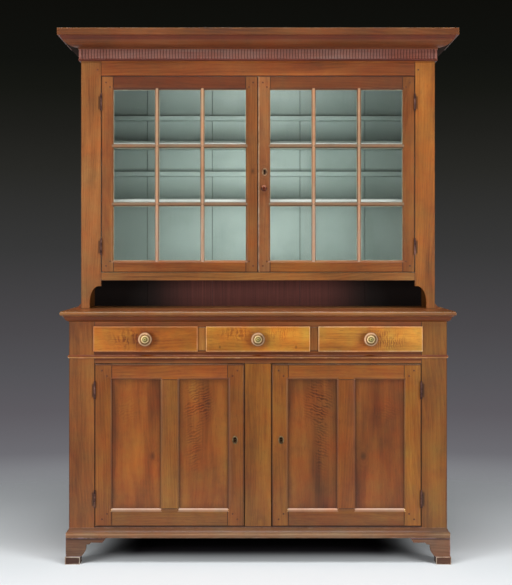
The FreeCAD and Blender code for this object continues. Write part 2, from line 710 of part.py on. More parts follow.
def hinge_leaf(name, side, plate, rows, axis, face, low):
    """A leaf let into an edge, with a neck and a knuckle on each of the given rows of its height."""
    axis_x, axis_y = signed(side, axis), f"{face} - pin_offset"
    across = on_side(side, *plate)
    parts = [board(name + "_plate", across, from_start(face, "leaf_width"), from_start(low, "hinge_length"))]
    for number, (bottom, top) in enumerate(rows):
        parts.append(board(f"{name}_neck_{number}", across, (axis_y, face), (bottom, top)))
        parts.append(cylinder(f"{name}_knuckle_{number}", "knuckle_radius", f"{top} - ({bottom})",
                              axis_x, axis_y, bottom))
    bore = cylinder(name + "_bore", "pin_radius + pin_play", "hinge_length + 2 * overrun", axis_x, axis_y,
                    f"{low} - overrun")
    return cut(name, fuse(name + "_parts", *parts), bore)


def hinge(name, side, edge, face, height):
    """One butt hinge at the gap outside a door: the case's leaf, the door's leaf and the pin."""
    axis = f"{edge} - door_gap / 2"
    low = f"{height} - hinge_length / 2"
    high = f"{low} + hinge_length"
    case_rows = [(low, f"{low} + hinge_length / 3"), (f"{high} - hinge_length / 3", high)]
    door_rows = [(f"{low} + hinge_length / 3 + knuckle_gap", f"{high} - hinge_length / 3 - knuckle_gap")]
    case_plate = from_start(edge, "leaf_thickness")
    door_plate = up_to(f"{edge} - door_gap", "leaf_thickness")
    case_leaf = hinge_leaf(name + "_case_leaf", side, case_plate, case_rows, axis, face, low)
    door_leaf = hinge_leaf(name + "_door_leaf", side, door_plate, door_rows, axis, face, low)
    x, y = signed(side, axis), f"{face} - pin_offset"
    pin = fuse(name + "_pin", cylinder(name + "_pin_shank", "pin_radius", "hinge_length", x, y, low),
               cylinder(name + "_pin_head", "pin_head_radius", "pin_head_height", x, y, high))
    return case_leaf, door_leaf, pin


def keyhole(name, x, face, z):
    """A round hole over a slot, cut through a door from its front face and the lock behind it."""
    deep = "door_thickness + lock_depth + 2 * overrun"
    hole = cylinder(name + "_hole", "key_radius", deep, x, f"{face} - overrun", z, along="y")
    slot = board(name + "_slot", around(x, "key_slot_width"), from_start(f"{face} - overrun", deep),
                 up_to(z, "key_slot_height"))
    return fuse(name, hole, slot)


def lock(name, side, inner, key_x, face, key_z):
    """A rim lock on the back of a stile with its bolt, the keyhole's cutter, and an oval plate in
    front. The bolt lies in a track near the top of the lock's case."""
    key = keyhole(name + "_key", signed(side, key_x), face, key_z)
    behind, start = f"{face} + door_thickness", f"{inner} + lock_inset"
    block = board(name + "_block", on_side(side, *from_start(start, "lock_width")),
                  from_start(behind, "lock_depth"), around(key_z, "lock_height"))
    bolt_deep = from_start(f"{behind} + bolt_cover + bolt_play", "bolt_thickness")
    bolt_tall = from_start(f"{key_z} + lock_height / 2 - bolt_cover - bolt_height", "bolt_height")
    bolt = board(name + "_bolt", on_side(side, *from_start(start, "bolt_length")), bolt_deep, bolt_tall)
    track = board(name + "_track", on_side(side, f"{start} - overrun", f"{start} + bolt_length + bolt_play"),
                  widened(bolt_deep, "bolt_play"), widened(bolt_tall, "bolt_play"))
    plate = oval_plate(name + "_plate", "escutcheon_height / 2", "escutcheon_width / 2",
                       signed(side, key_x), face, f"{key_z} - key_slot_height / 3", "escutcheon_thickness")
    return cut(name + "_case", block, track, key), cut(name + "_escutcheon", plate, key), bolt, key


# ---------------------------------------------------------------------------------------------
# Doors
# ---------------------------------------------------------------------------------------------

def sight_wedge(name, x, z, face, width, depth):
    """The void of one opening's moulded edge: wide at the face and sight size at its depth."""
    wide, tall = f"({x[1]}) - ({x[0]})", f"({z[1]}) - ({z[0]})"
    wedge = DOCUMENT.addObject("Part::Wedge", name)
    bind(wedge, Xmin=f"-({width})", Xmax=f"{wide} + {width}", Zmin=f"-({width})", Zmax=f"{tall} + {width}")
    bind(wedge, Ymin="0", Ymax=depth, X2min="0", X2max=wide, Z2min="0", Z2max=tall)
    return place(wedge, x[0], face, z[0])


def panelled_door(side, word):
    """A frame with a central mullion and two flat panels in grooves, hinged on its outer stile."""
    name = f"lower_{word}_door"
    inner, outer, middle = "panel_door_inner", "panel_door_outer", "mullion_middle"
    low, high = "panel_door_bottom", "panel_door_top"
    deep = from_start("front", "door_thickness")
    sight_z = (f"{low} + panel_bottom_rail", f"{high} - panel_top_rail")
    panel_deep = from_start("front + panel_setback", "panel_thickness")
    spans = {"inner": (f"{inner} + panel_door_stile", f"{middle} - mullion_width / 2"),
             "outer": (f"{middle} + mullion_width / 2", f"{outer} - panel_door_stile")}
    voids, panels = [], []
    for half, span in spans.items():
        sight_x = on_side(side, *span)
        voids.append(sight_wedge(f"{name}_{half}_edge", sight_x, sight_z, "front", "panel_sticking",
                                 "panel_sticking_depth"))
        voids.append(board(f"{name}_{half}_groove", widened(sight_x, "groove_depth"),
                           widened(panel_deep, "groove_play"), widened(sight_z, "groove_depth")))
        tongue = "(groove_depth - panel_play)"
        panels.append(board(f"{name}_{half}_panel", widened(sight_x, tongue), panel_deep,
                            widened(sight_z, tongue)))
    openings = fuse(name + "_openings", *voids)
    case, escutcheon, bolt, key = lock(name + "_lock", side, inner, f"{inner} + lower_key_inset", "front",
                                       "lower_key_height")
    seats = hinge_seats(name, side, up_to(outer, "leaf_thickness"), "front", LOWER_HINGES)
    stiles = {"inner": ((inner, spans["inner"][0]), (low, high), [openings, key]),
              "mullion": ((spans["inner"][1], spans["outer"][0]), sight_z, [openings]),
              "outer": ((spans["outer"][1], outer), (low, high), [openings, *seats])}
    uprights = [shaped_board(f"{name}_{part}", on_side(side, *span), deep, tall, *tools)
                for part, (span, tall, tools) in stiles.items()]
    across = on_side(side, spans["inner"][0], spans["outer"][1])
    rails = [shaped_board(f"{name}_{row}_rail", across, deep, tall, openings)
             for row, tall in (("bottom", (low, sight_z[0])), ("top", (sight_z[1], high)))]
    node(name + "_stiles", *uprights)
    node(name + "_rails", *rails)
    node(name + "_panels", *panels)
    node(name + "_lock", case, escutcheon)
    node(f"lower_{word}_lock_bolt", bolt)


def glazing_bar(name, role, length):
    """A bar with a rounded front and a narrow tongue behind it, between two panes."""
    wide, tongue, nose = "bar_width / 2", "bar_tongue / 2", "bar_nose / 2"
    section = [(nose, "bar_setback", "-bar_radius"), (wide, "bar_shoulder"), (wide, "rebate_depth"),
               (tongue, "rebate_depth"), (tongue, "bar_depth"), (f"-{tongue}", "bar_depth"),
               (f"-{tongue}", "rebate_depth"), (f"-{wide}", "rebate_depth"),
               (f"-{wide}", "bar_shoulder", "-bar_radius"), (f"-{nose}", "bar_setback")]
    if role == "YZ_Plane":
        section = [(deep, across, *[f"-({radius})" for radius in arc]) for across, deep, *arc in section]
    return extruded(name, role, section, length)


def glazed_door(side, word):
    """A frame with two upright and two cross bars, and nine panes in rebates behind them."""
    name = f"upper_{word}_door"
    inner, outer, low, high = "glazed_inner", "glazed_outer", "glazed_bottom", "glazed_top"
    face = "upper_front"
    deep = from_start(face, "door_thickness")
    sight_x, sight_z = on_side(side, "sight_left", "sight_right"), ("sight_bottom", "sight_top")
    edge = sight_wedge(name + "_edge", sight_x, sight_z, face, "glass_sticking", "glass_sticking_depth")
    rebate = board(name + "_rebate", widened(sight_x, "rebate_width"), (f"{face} + rebate_depth", deep[1]),
                   widened(sight_z, "rebate_width"))
    opening = fuse(name + "_opening", edge, rebate)
    inner_tools = [opening]
    if side > 0:
        case, escutcheon, bolt, key = lock("upper_lock", side, inner, f"{inner} + upper_key_inset", face,
                                           "upper_key_height")
        inner_tools += [key, cylinder("latch_hole", "spindle_radius + spindle_play",
                                      "door_thickness + 2 * overrun", "latch_place", f"{face} - overrun",
                                      "latch_height", along="y")]
        node("upper_lock", case, escutcheon)
        node("upper_lock_bolt", bolt)
    outer_tools = [opening, *hinge_seats(name, side, up_to(outer, "leaf_thickness"), face, UPPER_HINGES)]
    stiles = [shaped_board(f"{name}_{part}_stile", on_side(side, *span), deep, (low, high), *tools)
              for part, span, tools in (("inner", (inner, "sight_left"), inner_tools),
                                        ("outer", ("sight_right", outer), outer_tools))]
    rails = [shaped_board(f"{name}_{row}_rail", sight_x, deep, tall, opening)
             for row, tall in (("bottom", (low, "sight_bottom")), ("top", ("sight_top", high)))]
    node(name + "_stiles", *stiles)
    node(name + "_rails", *rails)
    node(name + "_glazing_bars", *glazing_bars(name, sight_x, face, stiles, rails))
    node(name + "_panes", *panes(name, sight_x, face))


def glazing_bars(name, sight_x, face, stiles, rails):
    """Upright bars coped to the rails, and cross bars coped to the stiles and the upright bars."""
    uprights, crossings = [], []
    tall = "sight_top - sight_bottom + 2 * glass_sticking"
    wide = "sight_right - sight_left + 2 * glass_sticking"
    for number in (1, 2):
        bar = glazing_bar(f"{name}_upright_{number}_stock", "XY_Plane", tall)
        place(bar, f"{sight_x[0]} + {number} * (pane_width + bar_width) - bar_width / 2", face,
              "sight_bottom - glass_sticking")
        uprights.append(cut(f"{name}_upright_{number}", bar, *rails))
    for number in (1, 2):
        bar = glazing_bar(f"{name}_crossing_{number}_stock", "YZ_Plane", wide)
        place(bar, f"{sight_x[0]} - glass_sticking", face,
              f"sight_bottom + {number} * (pane_height + bar_width) - bar_width / 2")
        crossings.append(cut(f"{name}_crossing_{number}", bar, *stiles, *uprights))
    return uprights + crossings


def panes(name, sight_x, face):
    """Nine panes that lap onto the rebates and the bars' shoulders."""
    deep = from_start(f"{face} + rebate_depth", "glass_thickness")
    sheets = []
    for column in range(3):
        across = from_start(f"{sight_x[0]} + {column} * (pane_width + bar_width)", "pane_width")
        for row in range(3):
            tall = from_start(f"sight_bottom + {row} * (pane_height + bar_width)", "pane_height")
            sheets.append(board(f"{name}_pane_{column + 1}_{row + 1}", widened(across, "glass_lap"), deep,
                                widened(tall, "glass_lap")))
    return sheets


def latch():
    """A turned wooden knob on a spindle, with the turn button that it moves behind the stiles."""
    through = "door_thickness + latch_play + button_thickness"
    tip = "-latch_play - turned_length"
    section = [(tip, "0"), (tip, "turned_neck", "-turned_radius"),
               (f"{tip} / 2", "turned_radius", "-turned_radius"),
               ("-latch_play - turned_waist", "turned_neck"), ("-latch_play", "turned_foot"),
               ("-latch_play", "spindle_radius"), (through, "spindle_radius"), (through, "0")]
    knob = place(turned("latch_turning", section), "latch_place", "upper_front", "latch_height")
    deep = from_start("upper_front + door_thickness + latch_play", "button_thickness")
    bar = board("turn_button_bar", around("latch_place", "button_width"), deep,
                ("latch_height - button_reach", "latch_height + button_width / 2"))
    hole = cylinder("turn_button_hole", "spindle_radius", "button_thickness + 2 * overrun", "latch_place",
                    f"{deep[0]} - overrun", "latch_height", along="y")
    node("latch_knob", knob)
    node("latch_button", cut("turn_button", bar, hole))


# ---------------------------------------------------------------------------------------------
# Drawers
# ---------------------------------------------------------------------------------------------

def brass_knob(name, x):
    """A round brass knob with a raised ring and a central boss, on a stem with a plate and a nut."""
    plate, tip = "-knob_plate_thickness", "-knob_reach"
    crest = "boss_rise - knob_reach"
    rim = "boss_rise + ring_rise - knob_reach"
    stem = f"{rim} + knob_rim"
    inside = "drawer_lip + front_block"
    ring = "(ring_outer + ring_inner) / 2"
    section = [("0", "shank_radius"), ("0", "knob_plate"), (plate, "knob_plate"), (plate, "knob_neck"),
               (stem, "knob_neck"), (stem, "knob_radius"), (rim, "knob_radius"), (rim, "ring_outer"),
               (crest, f"{ring} + ring_crest / 2"), (crest, f"{ring} - ring_crest / 2"), (rim, "ring_inner"),
               (rim, "boss_radius"), (tip, "boss_top"), (tip, "0"), (f"{inside} + nut_height", "0"),
               (f"{inside} + nut_height", "nut_radius"), (inside, "nut_radius"), (inside, "shank_radius")]
    return place(turned(name, section), x, "lip_front", "(drawer_sill + drawer_head) / 2")


def drawer(word, middle):
    """A lipped front on a box that slides on the runners, and its knob."""
    name = f"drawer_{word}"
    low, tail = "drawer_sill + runner_gap", "back_face - drawer_back_gap"
    front_height = ("drawer_sill", "drawer_head")

    def is_lip_edge(centre, box):
        return is_touching(centre.y, box.YMin)

    lip = rounded_board(name + "_lip", widened(around(middle, "drawer_width"), "lip_cover"),
                        ("lip_front", "lip_back"), widened(front_height, "lip_cover"), "lip_radius",
                        is_lip_edge)
    outside = around(middle, "drawer_width - 2 * block_play")
    block = board(name + "_block", outside, ("lip_back", "block_back"), (low, "drawer_head - block_play"))
    shank = cylinder(name + "_shank_hole", "shank_radius + shank_play",
                     "drawer_lip + front_block + 2 * overrun", middle, "lip_front - overrun",
                     "(drawer_sill + drawer_head) / 2", along="y")
    inside = around(middle, "drawer_width - 2 * block_play - 2 * drawer_side")
    side_top = f"{low} + drawer_side_height"
    floor = from_start(f"{low} + bottom_rise", "drawer_bottom")
    box = [board(f"{name}_side_{end}", across, ("block_back", tail), (low, side_top))
           for end, across in (("left", (outside[0], inside[0])), ("right", (inside[1], outside[1])))]
    box.append(board(name + "_bottom", inside, ("block_back", tail), floor))
    box.append(board(name + "_back", inside, up_to(tail, "drawer_side"), (floor[1], side_top)))
    node(name + "_front", cut(name + "_front_board", fuse(name + "_front_stock", lip, block), shank))
    node(name + "_box", *box)
    node(name + "_knob", brass_knob(name + "_brass", middle))


# ---------------------------------------------------------------------------------------------
# The whole piece
# ---------------------------------------------------------------------------------------------

BASE_HEIGHT = ("base_bottom", "base_top")
node("base_sides", *rebated_sides("base_side", "base_half", BASE_INSIDE, "frame_back", BASE_HEIGHT))
node("base_stiles", *base_stiles())
node("base_rails", *base_rails())
node("drawer_dividers", *drawer_dividers())
node("drawer_runners", *drawer_runners())
node("base_shelves", *base_shelves())
BASE_BACK_HALF = f"({BASE_INSIDE} + back_lap)"
BASE_BACK_BOARD = f"2 * {BASE_BACK_HALF} / 5"
node("base_backboards", *back_boards("base_back", BASE_BACK_HALF, [BASE_BACK_BOARD] * 4, BASE_HEIGHT))
node("bracket_feet", *bracket_feet())
node("foot_pads", *foot_pads())
node("base_molding", *base_moulding())
node("waist_bead", *waist_bead())
node("counter_molding", *counter_moulding())
node("countertop", countertop())
node("seat_molding", *seat_moulding())

UPPER_HEIGHT = ("counter_top", "upper_top")
UPPER_BACK_BOARDS = ["first_back_board", "second_back_board", "third_back_board", "fourth_back_board"]
node("upper_sides",
     *rebated_sides("upper_side", "upper_half", UPPER_INSIDE, "upper_frame_back", UPPER_HEIGHT))
node("upper_stiles", *upper_stiles())
node("upper_rails", *upper_rails())
node("upper_bottom_board", between_sides("upper_floor", UPPER_INSIDE, ("upper_frame_back", "back_face"),
                                         up_to("glazed_sill", "board_thickness")))
node("upper_top_board", board("upper_roof", ("-upper_half", "upper_half"), ("upper_front", "back"),
                              ("upper_top", "cornice_top")))
node("upper_shelves", *upper_shelves())
node("upper_backboards",
     *back_boards("upper_back", f"({UPPER_INSIDE} + back_lap)", UPPER_BACK_BOARDS, UPPER_HEIGHT))
node("fluted_frieze", *fluted_frieze())
node("crown_molding", *crown_moulding())

case_leaves, pins = [], []
for door_side, door_word in SIDES.items():
    glazed_door(door_side, door_word)
    panelled_door(door_side, door_word)
    for level, frame_edge, frame_face, heights in (("upper", "upper_edge", "upper_front", UPPER_HINGES),
                                                   ("lower", "opening_edge", "front", LOWER_HINGES)):
        hinges = [hinge(f"{level}_{door_word}_{row}_hinge", door_side, frame_edge, frame_face, height)
                  for row, height in heights.items()]
        node(f"{level}_{door_word}_door_hinge_leaves", *[door_leaf for _, door_leaf, _ in hinges])
        case_leaves += [case_leaf for case_leaf, _, _ in hinges]
        pins += [pin for _, _, pin in hinges]
node("case_hinge_leaves", *case_leaves)
node("hinge_pins", *pins)
latch()

DRAWER_PITCH = "(divider_width + drawer_width)"
for drawer_word, drawer_middle in (("left", f"-{DRAWER_PITCH}"), ("center", "0"), ("right", DRAWER_PITCH)):
    drawer(drawer_word, drawer_middle)

DOCUMENT.recompute()
for thing in DOCUMENT.Objects:
    if "Invalid" in thing.State or "Error" in thing.State:
        raise RuntimeError(f"{thing.Label} could not be worked out: {thing.State}")
for piece in NODES:
    if piece.Shape.isNull() or not piece.Shape.isValid() or not piece.Shape.Solids:
        raise RuntimeError(f"{piece.Label} is not a sound solid")
os.makedirs("parts", exist_ok=True)
for piece in NODES:
    piece.Shape.exportStep(f"parts/{piece.Label}.step")
print(len(NODES), "nodes,", sum(len(piece.Shape.Solids) for piece in NODES), "solids")
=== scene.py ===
# %% [markdown]
# # A step back cupboard, dressed
#
# The cupboard stands in two parts: a deep base with drawers and panelled doors, and a shallow glazed case
# on top of it. The frame brings every board, hinge and lock at its real size. What is left is what a
# cabinetmaker calls finishing: eased edges, figure in the wood, old glass, brass and iron.

import math
import random
from types import SimpleNamespace

import bpy
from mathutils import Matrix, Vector


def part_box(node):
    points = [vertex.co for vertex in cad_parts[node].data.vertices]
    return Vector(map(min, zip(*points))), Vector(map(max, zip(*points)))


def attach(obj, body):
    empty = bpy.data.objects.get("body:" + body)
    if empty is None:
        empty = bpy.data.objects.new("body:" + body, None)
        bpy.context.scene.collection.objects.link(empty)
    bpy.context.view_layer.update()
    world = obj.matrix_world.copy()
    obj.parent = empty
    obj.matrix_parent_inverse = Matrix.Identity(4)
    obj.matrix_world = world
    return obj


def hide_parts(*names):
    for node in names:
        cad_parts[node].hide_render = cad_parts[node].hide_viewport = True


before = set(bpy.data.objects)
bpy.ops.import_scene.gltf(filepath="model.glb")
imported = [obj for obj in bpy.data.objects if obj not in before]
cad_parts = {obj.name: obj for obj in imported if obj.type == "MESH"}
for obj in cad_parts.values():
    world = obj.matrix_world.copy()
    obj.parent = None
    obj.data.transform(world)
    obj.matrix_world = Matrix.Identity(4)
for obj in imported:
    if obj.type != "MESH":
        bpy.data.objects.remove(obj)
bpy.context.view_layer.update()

# %% [markdown]
# A pencil and a ruler first. Sizes below are in millimetres, as on a workshop drawing, and one value turns
# them to metres. Nothing may be selected by accident, because an operator acts on all that is selected.

# %% Workshop rules
MM = 0.001
X, Y, Z = 0, 1, 2


def deselect():
    """Leave the bench empty before the next operator."""
    bpy.ops.object.select_all(action="DESELECT")


def on_bench(piece):
    """Select one piece alone and make it the active one."""
    deselect()
    piece.select_set(True)
    bpy.context.view_layer.objects.active = piece


def corners(spots):
    """The lowest and highest corners of a list of places."""
    return [[pick(spot[axis] for spot in spots) for axis in (X, Y, Z)] for pick in (min, max)]


def box_mm(node):
    """A node's lowest and highest corners, in millimetres."""
    return [[c / MM for c in corner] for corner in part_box(node)]


deselect()
FRONT = box_mm("base_stiles")[0][Y]
UPPER_FRONT = box_mm("upper_stiles")[0][Y]
print("base front at", round(FRONT, 2), "upper front at", round(UPPER_FRONT, 2))

# %% [markdown]
# The camera stands five metres away at eye level and looks straight at the front, so that upright lines
# stay upright. A long lens keeps the cornice and the feet in proportion, and the shift slides the picture
# down to the floor without tilting the camera.

# %% Camera
LONG_SIDE = 585
FOCAL_PIXELS = 1227
EYE_LEVEL = 1258
CAMERA_AWAY = 5000
SENSOR = 36
AXIS_RIGHT, AXIS_UP = 2, 37.5

bpy.ops.object.camera_add(location=(0, (FRONT - CAMERA_AWAY) * MM, EYE_LEVEL * MM),
                          rotation=(math.radians(90), 0, 0))
camera = bpy.context.object
camera.name = "portrait_camera"
camera.data.sensor_width = SENSOR
camera.data.lens = SENSOR * FOCAL_PIXELS / LONG_SIDE
camera.data.shift_x = -AXIS_RIGHT / LONG_SIDE
camera.data.shift_y = -AXIS_UP / LONG_SIDE
bpy.context.scene.camera = camera
bpy.context.scene.view_settings.view_transform = "Standard"
print("lens", round(camera.data.lens, 2), "mm")

# %% [markdown]
# Two colours on screen are only alike if they are handled as light. A hex value is how a colour looks on a
# screen, and the renderer works with amounts of light, so one function turns the first into the second.

# %% Colour


def colour(code):
    """A screen colour such as "a0703c" as linear light, with alpha."""
    light = []
    for start in (0, 2, 4):
        part = int(code[start:start + 2], 16) / 255
        light.append(part / 12.92 if part <= 0.04045 else ((part + 0.055) / 1.055) ** 2.4)
    return (*light, 1)


print("walnut brown is", [round(part, 3) for part in colour("7a4a2c")])

# %% [markdown]
# Every finish is a small net of nodes. One function adds a node, sets it and joins its inputs, so that a
# line of code reads like a line of a recipe. Two settings come back again and again: a soft change from
# one value to another, and a mix of colours.

# %% Nodes
SOFT = {"interpolation_type": "SMOOTHSTEP"}
RGBA = {"data_type": "RGBA"}


def put(tree, kind, *inputs, **settings):
    """Add one node, set it, and fill its inputs in order, or from a dict of their places or names.

    A hex value becomes its colour, and a node stands for its first live output.
    """
    node = tree.nodes.new("ShaderNode" + kind)
    for name, value in settings.items():
        setattr(node, name, value)
    places = inputs[0] if inputs and isinstance(inputs[0], dict) else dict(enumerate(inputs))
    for place, value in places.items():
        if isinstance(value, str):
            value = colour(value)
        if isinstance(value, bpy.types.Node):
            value = next(output for output in value.outputs if output.enabled)
        if isinstance(value, bpy.types.NodeSocket):
            tree.links.new(value, node.inputs[place])
        else:
            node.inputs[place].default_value = value
    return node


def shaded(node, *stops):
    """Lay colours along a ramp: each stop is a place from 0 to 1 and a hex value."""
    while len(node.color_ramp.elements) < len(stops):
        node.color_ramp.elements.new(0.5)
    for element, (place, code) in zip(node.color_ramp.elements, stops):
        element.position = place
        element.color = colour(code)
    return node


def new_finish(name):
    """An empty material to lay nodes in, and its tree."""
    material = bpy.data.materials.new(name)
    material.use_nodes = True
    material.node_tree.nodes.clear()
    return material, material.node_tree


print("one function for all nodes:", put.__name__)

# %% [markdown]
# Soft studio light: two large soft boxes stand left and right of the camera, at half the cupboard's height,
# so shelves throw their shadows up the back boards. A weaker one hangs above and grazes every surface that
# looks up. The lamps are measured so that a pale surface facing the camera is just below white.

# %% Lamps
AIM = Vector((0, -0.2, 1.15))
SIDE_WATTS, TOP_WATTS = 84, 95


def soft_box(name, place, size, watts):
    """A rectangular lamp at a place, turned to face the cupboard."""
    turn = (AIM - Vector(place)).to_track_quat("-Z", "Y").to_euler()
    bpy.ops.object.light_add(type="AREA", location=place, rotation=turn)
    lamp = bpy.context.object
    lamp.name = name
    lamp.data.shape = "RECTANGLE"
    lamp.data.size, lamp.data.size_y = size
    lamp.data.energy = watts
    lamp.visible_camera = False


for side, word in ((-1, "left"), (1, "right")):
    soft_box(f"soft_box_{word}", (side * 2.56, -2.6, 1.2), (1.6, 0.8), SIDE_WATTS)
soft_box("soft_box_top", (0, -1.5, 3.7), (2.4, 1.2), TOP_WATTS)
print("lamps:", SIDE_WATTS, SIDE_WATTS, TOP_WATTS, "W")

# %% [markdown]
# The backdrop is a sweep of grey paper, pale at the floor and dark overhead. Only the eye, a mirror and a
# pane of glass see it. What lights the wood from all round is a dim even grey, as in a dark studio. The
# sweep's tones are given by the row of the picture where each one lies, from the top, with the horizon at
# the camera's height.

# %% World
EVEN_GREY = 0.02
HORIZON_ROW = 255
SWEEP = ((0, "0e0e0b"), (60, "11120f"), (90, "161713"), (130, "1f1f1c"), (170, "282825"), (250, "383838"),
         (330, "4b494c"), (370, "545357"), (410, "5e5b60"), (450, "6d6c71"), (495, "9b9ea1"),
         (540, "c8c9cc"), (570, "e6e6e6"), (585, "eeeeee"))

world = bpy.data.worlds.new("studio")
bpy.context.scene.world = world
world.use_nodes = True
world.cycles.sampling_method = "NONE"
sky = world.node_tree
sky.nodes.clear()
way = put(sky, "SeparateXYZ", put(sky, "TexCoord").outputs["Generated"]).outputs
level = put(sky, "CombineXYZ", way[X], way[Y])
level = put(sky, "VectorMath", level, operation="LENGTH").outputs["Value"]
rise = put(sky, "Math", way[Z], level, operation="DIVIDE")
row = put(sky, "MapRange", rise, HORIZON_ROW / FOCAL_PIXELS, (HORIZON_ROW - LONG_SIDE) / FOCAL_PIXELS, 0, 1)
sweep = shaded(put(sky, "ValToRGB", row), *((place / LONG_SIDE, code) for place, code in SWEEP))
ray = put(sky, "LightPath").outputs
seen = put(sky, "Math", ray["Is Camera Ray"], ray["Is Glossy Ray"], operation="MAXIMUM")
seen = put(sky, "Math", seen, ray["Is Transmission Ray"], operation="MAXIMUM")
dim = put(sky, "Background", (EVEN_GREY, EVEN_GREY, EVEN_GREY, 1))
shown = put(sky, "Background", sweep)
put(sky, "OutputWorld", put(sky, "MixShader", seen, dim, shown))
print("sweep has", len(SWEEP), "tones")

# %% [markdown]
# The floor is matt pale paper. It keeps the cupboard's shadow, and under the case a painted shadow darkens
# it further, deepest between the feet. The paper thins out with distance until only the sweep is seen, so
# that no edge of it shows from any side.

# %% Floor
FLOOR_HALF = 6
FADE_FROM, FADE_TO = 0.9, 2.6
FADE_STRETCH, FADE_MIDDLE = 0.75, 0.2
SHADOW_SIDE, SHADOW_FRONT, SHADOW_BACK = (0.5, 0.76), (-0.2, 0.0), (0.22, 0.3)

bpy.ops.mesh.primitive_plane_add(size=2 * FLOOR_HALF)
floor = bpy.context.object
floor.name = "paper_floor"
# Uncoated paper scatters light evenly and has no gloss at all.
paper, tree = new_finish("matt pale paper")
spot = put(tree, "SeparateXYZ", put(tree, "TexCoord").outputs["Object"]).outputs
sideways = put(tree, "Math", spot[X], FADE_STRETCH, operation="MULTIPLY")
backward = put(tree, "Math", spot[Y], FADE_MIDDLE, operation="ADD")
apart = put(tree, "VectorMath", put(tree, "CombineXYZ", sideways, backward), operation="LENGTH")
fade = put(tree, "MapRange", apart.outputs["Value"], FADE_FROM, FADE_TO, 1, 0, **SOFT)
# Painted shadow: under the case, between the feet, the paper goes dark grey.
painted_shadow = put(tree, "MapRange", put(tree, "Math", spot[X], operation="ABSOLUTE"), *SHADOW_SIDE, 1, 0, **SOFT)
inward = put(tree, "MapRange", spot[Y], *SHADOW_FRONT, 0, 1, **SOFT)
outward = put(tree, "MapRange", spot[Y], *SHADOW_BACK, 1, 0)
painted_shadow = put(tree, "Math", painted_shadow, inward, operation="MULTIPLY")
painted_shadow = put(tree, "Math", painted_shadow, outward, operation="MULTIPLY")
tone = put(tree, "Mix", {0: painted_shadow, 6: "e9eef1", 7: "39363a"}, **RGBA)
fade = put(tree, "Math", fade, put(tree, "LightPath").outputs["Is Diffuse Ray"], operation="MAXIMUM")
matt = put(tree, "MixShader", fade, put(tree, "BsdfTransparent"), put(tree, "BsdfDiffuse", tone))
put(tree, "OutputMaterial", matt)
floor.data.materials.append(paper)
print("floor fades out at", FADE_TO, "m")

# %% [markdown]
# ## Boards
#
# A CAD solid comes as loose triangles with knife-sharp edges, and one node holds several boards that touch.
# Each board's triangles follow each other, so a board ends where no edge waits for its partner any more.

# %% Find the boards in a node
MICRON = 1e-6


def board_numbers(mesh):
    """For each face, the number of the board that it belongs to, and how many boards there are."""
    place = [tuple(round(c / MICRON) for c in vertex.co) for vertex in mesh.vertices]
    numbers, waiting, number = [], {}, 0
    for face in mesh.polygons:
        ring = [place[i] for i in face.vertices]
        for edge in zip(ring, ring[1:] + ring[:1]):
            partner = edge[::-1]
            if partner in waiting:
                waiting[partner] -= 1
                if not waiting[partner]:
                    del waiting[partner]
            else:
                waiting[edge] = waiting.get(edge, 0) + 1
        numbers.append(number)
        if not waiting:
            number += 1
    return numbers, number


print("boards in the base's rails:", board_numbers(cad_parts["base_rails"].data)[1])

# %% [markdown]
# Boards that touch would be welded together, so each is split off and merged alone. Melting the flat
# triangles into whole faces then gives clean boards. Remeshing could do both at once, but it would round
# every arris and lose the mitres.

# %% Merge the boards
MERGE = 10 * MICRON
FLAT_ANGLE = math.radians(0.5)


def merged_copy(node, name):
    """A copy of a CAD node in which each solid is one closed skin of whole faces."""
    piece = bpy.data.objects.new(name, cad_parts[node].data.copy())
    bpy.context.collection.objects.link(piece)
    piece.data.materials.clear()
    on_bench(piece)
    numbers, count = board_numbers(piece.data)
    piece.data.attributes.new("board", "INT", "FACE").data.foreach_set("value", numbers)
    bpy.ops.object.mode_set(mode="EDIT")
    bpy.ops.mesh.select_mode(type="FACE")
    bpy.ops.mesh.select_all(action="DESELECT")
    bpy.ops.object.mode_set(mode="OBJECT")
    for number in range(count):
        marks = piece.data.attributes["board"].data
        piece.data.polygons.foreach_set("select", [mark.value == number for mark in marks])
        bpy.ops.object.mode_set(mode="EDIT")
        bpy.ops.mesh.split()
        bpy.ops.mesh.remove_doubles(threshold=MERGE)
        bpy.ops.mesh.dissolve_limited(angle_limit=FLAT_ANGLE)
        bpy.ops.mesh.select_all(action="DESELECT")
        bpy.ops.object.mode_set(mode="OBJECT")
    return piece


def islands(mesh):
    """The vertices of each closed skin."""
    leader = list(range(len(mesh.vertices)))

    def first(i):
        while leader[i] != i:
            leader[i] = leader[leader[i]]
            i = leader[i]
        return i

    for edge in mesh.edges:
        low, high = sorted(first(i) for i in edge.vertices)
        leader[high] = low
    found = {}
    for i in range(len(leader)):
        found.setdefault(first(i), []).append(i)
    return list(found.values())


def solid_boxes(node):
    """The lowest and highest corners of each solid of a node, in millimetres."""
    copy = merged_copy(node, "measured")
    boxes = [corners([copy.data.vertices[i].co / MM for i in members]) for members in islands(copy.data)]
    bpy.data.objects.remove(copy)
    return boxes


print("hinge pins measured:", len(solid_boxes("hinge_pins")))

# %% [markdown]
# No hand-made board has a knife edge: a few strokes of a plane or of sandpaper ease it. A small bevel does
# the same, and weighted normals keep the flats flat while the eased edge shines.

# %% Ease the edges
BEVEL_STEPS = 2
EASED_ANGLE = math.radians(40)
SMOOTH_ANGLE = math.radians(32)


def apply(piece, kind, **settings):
    """Add a modifier, set it and apply it."""
    modifier = piece.modifiers.new(kind.lower(), kind)
    for name, value in settings.items():
        setattr(modifier, name, value)
    bpy.ops.object.modifier_apply(modifier=modifier.name)


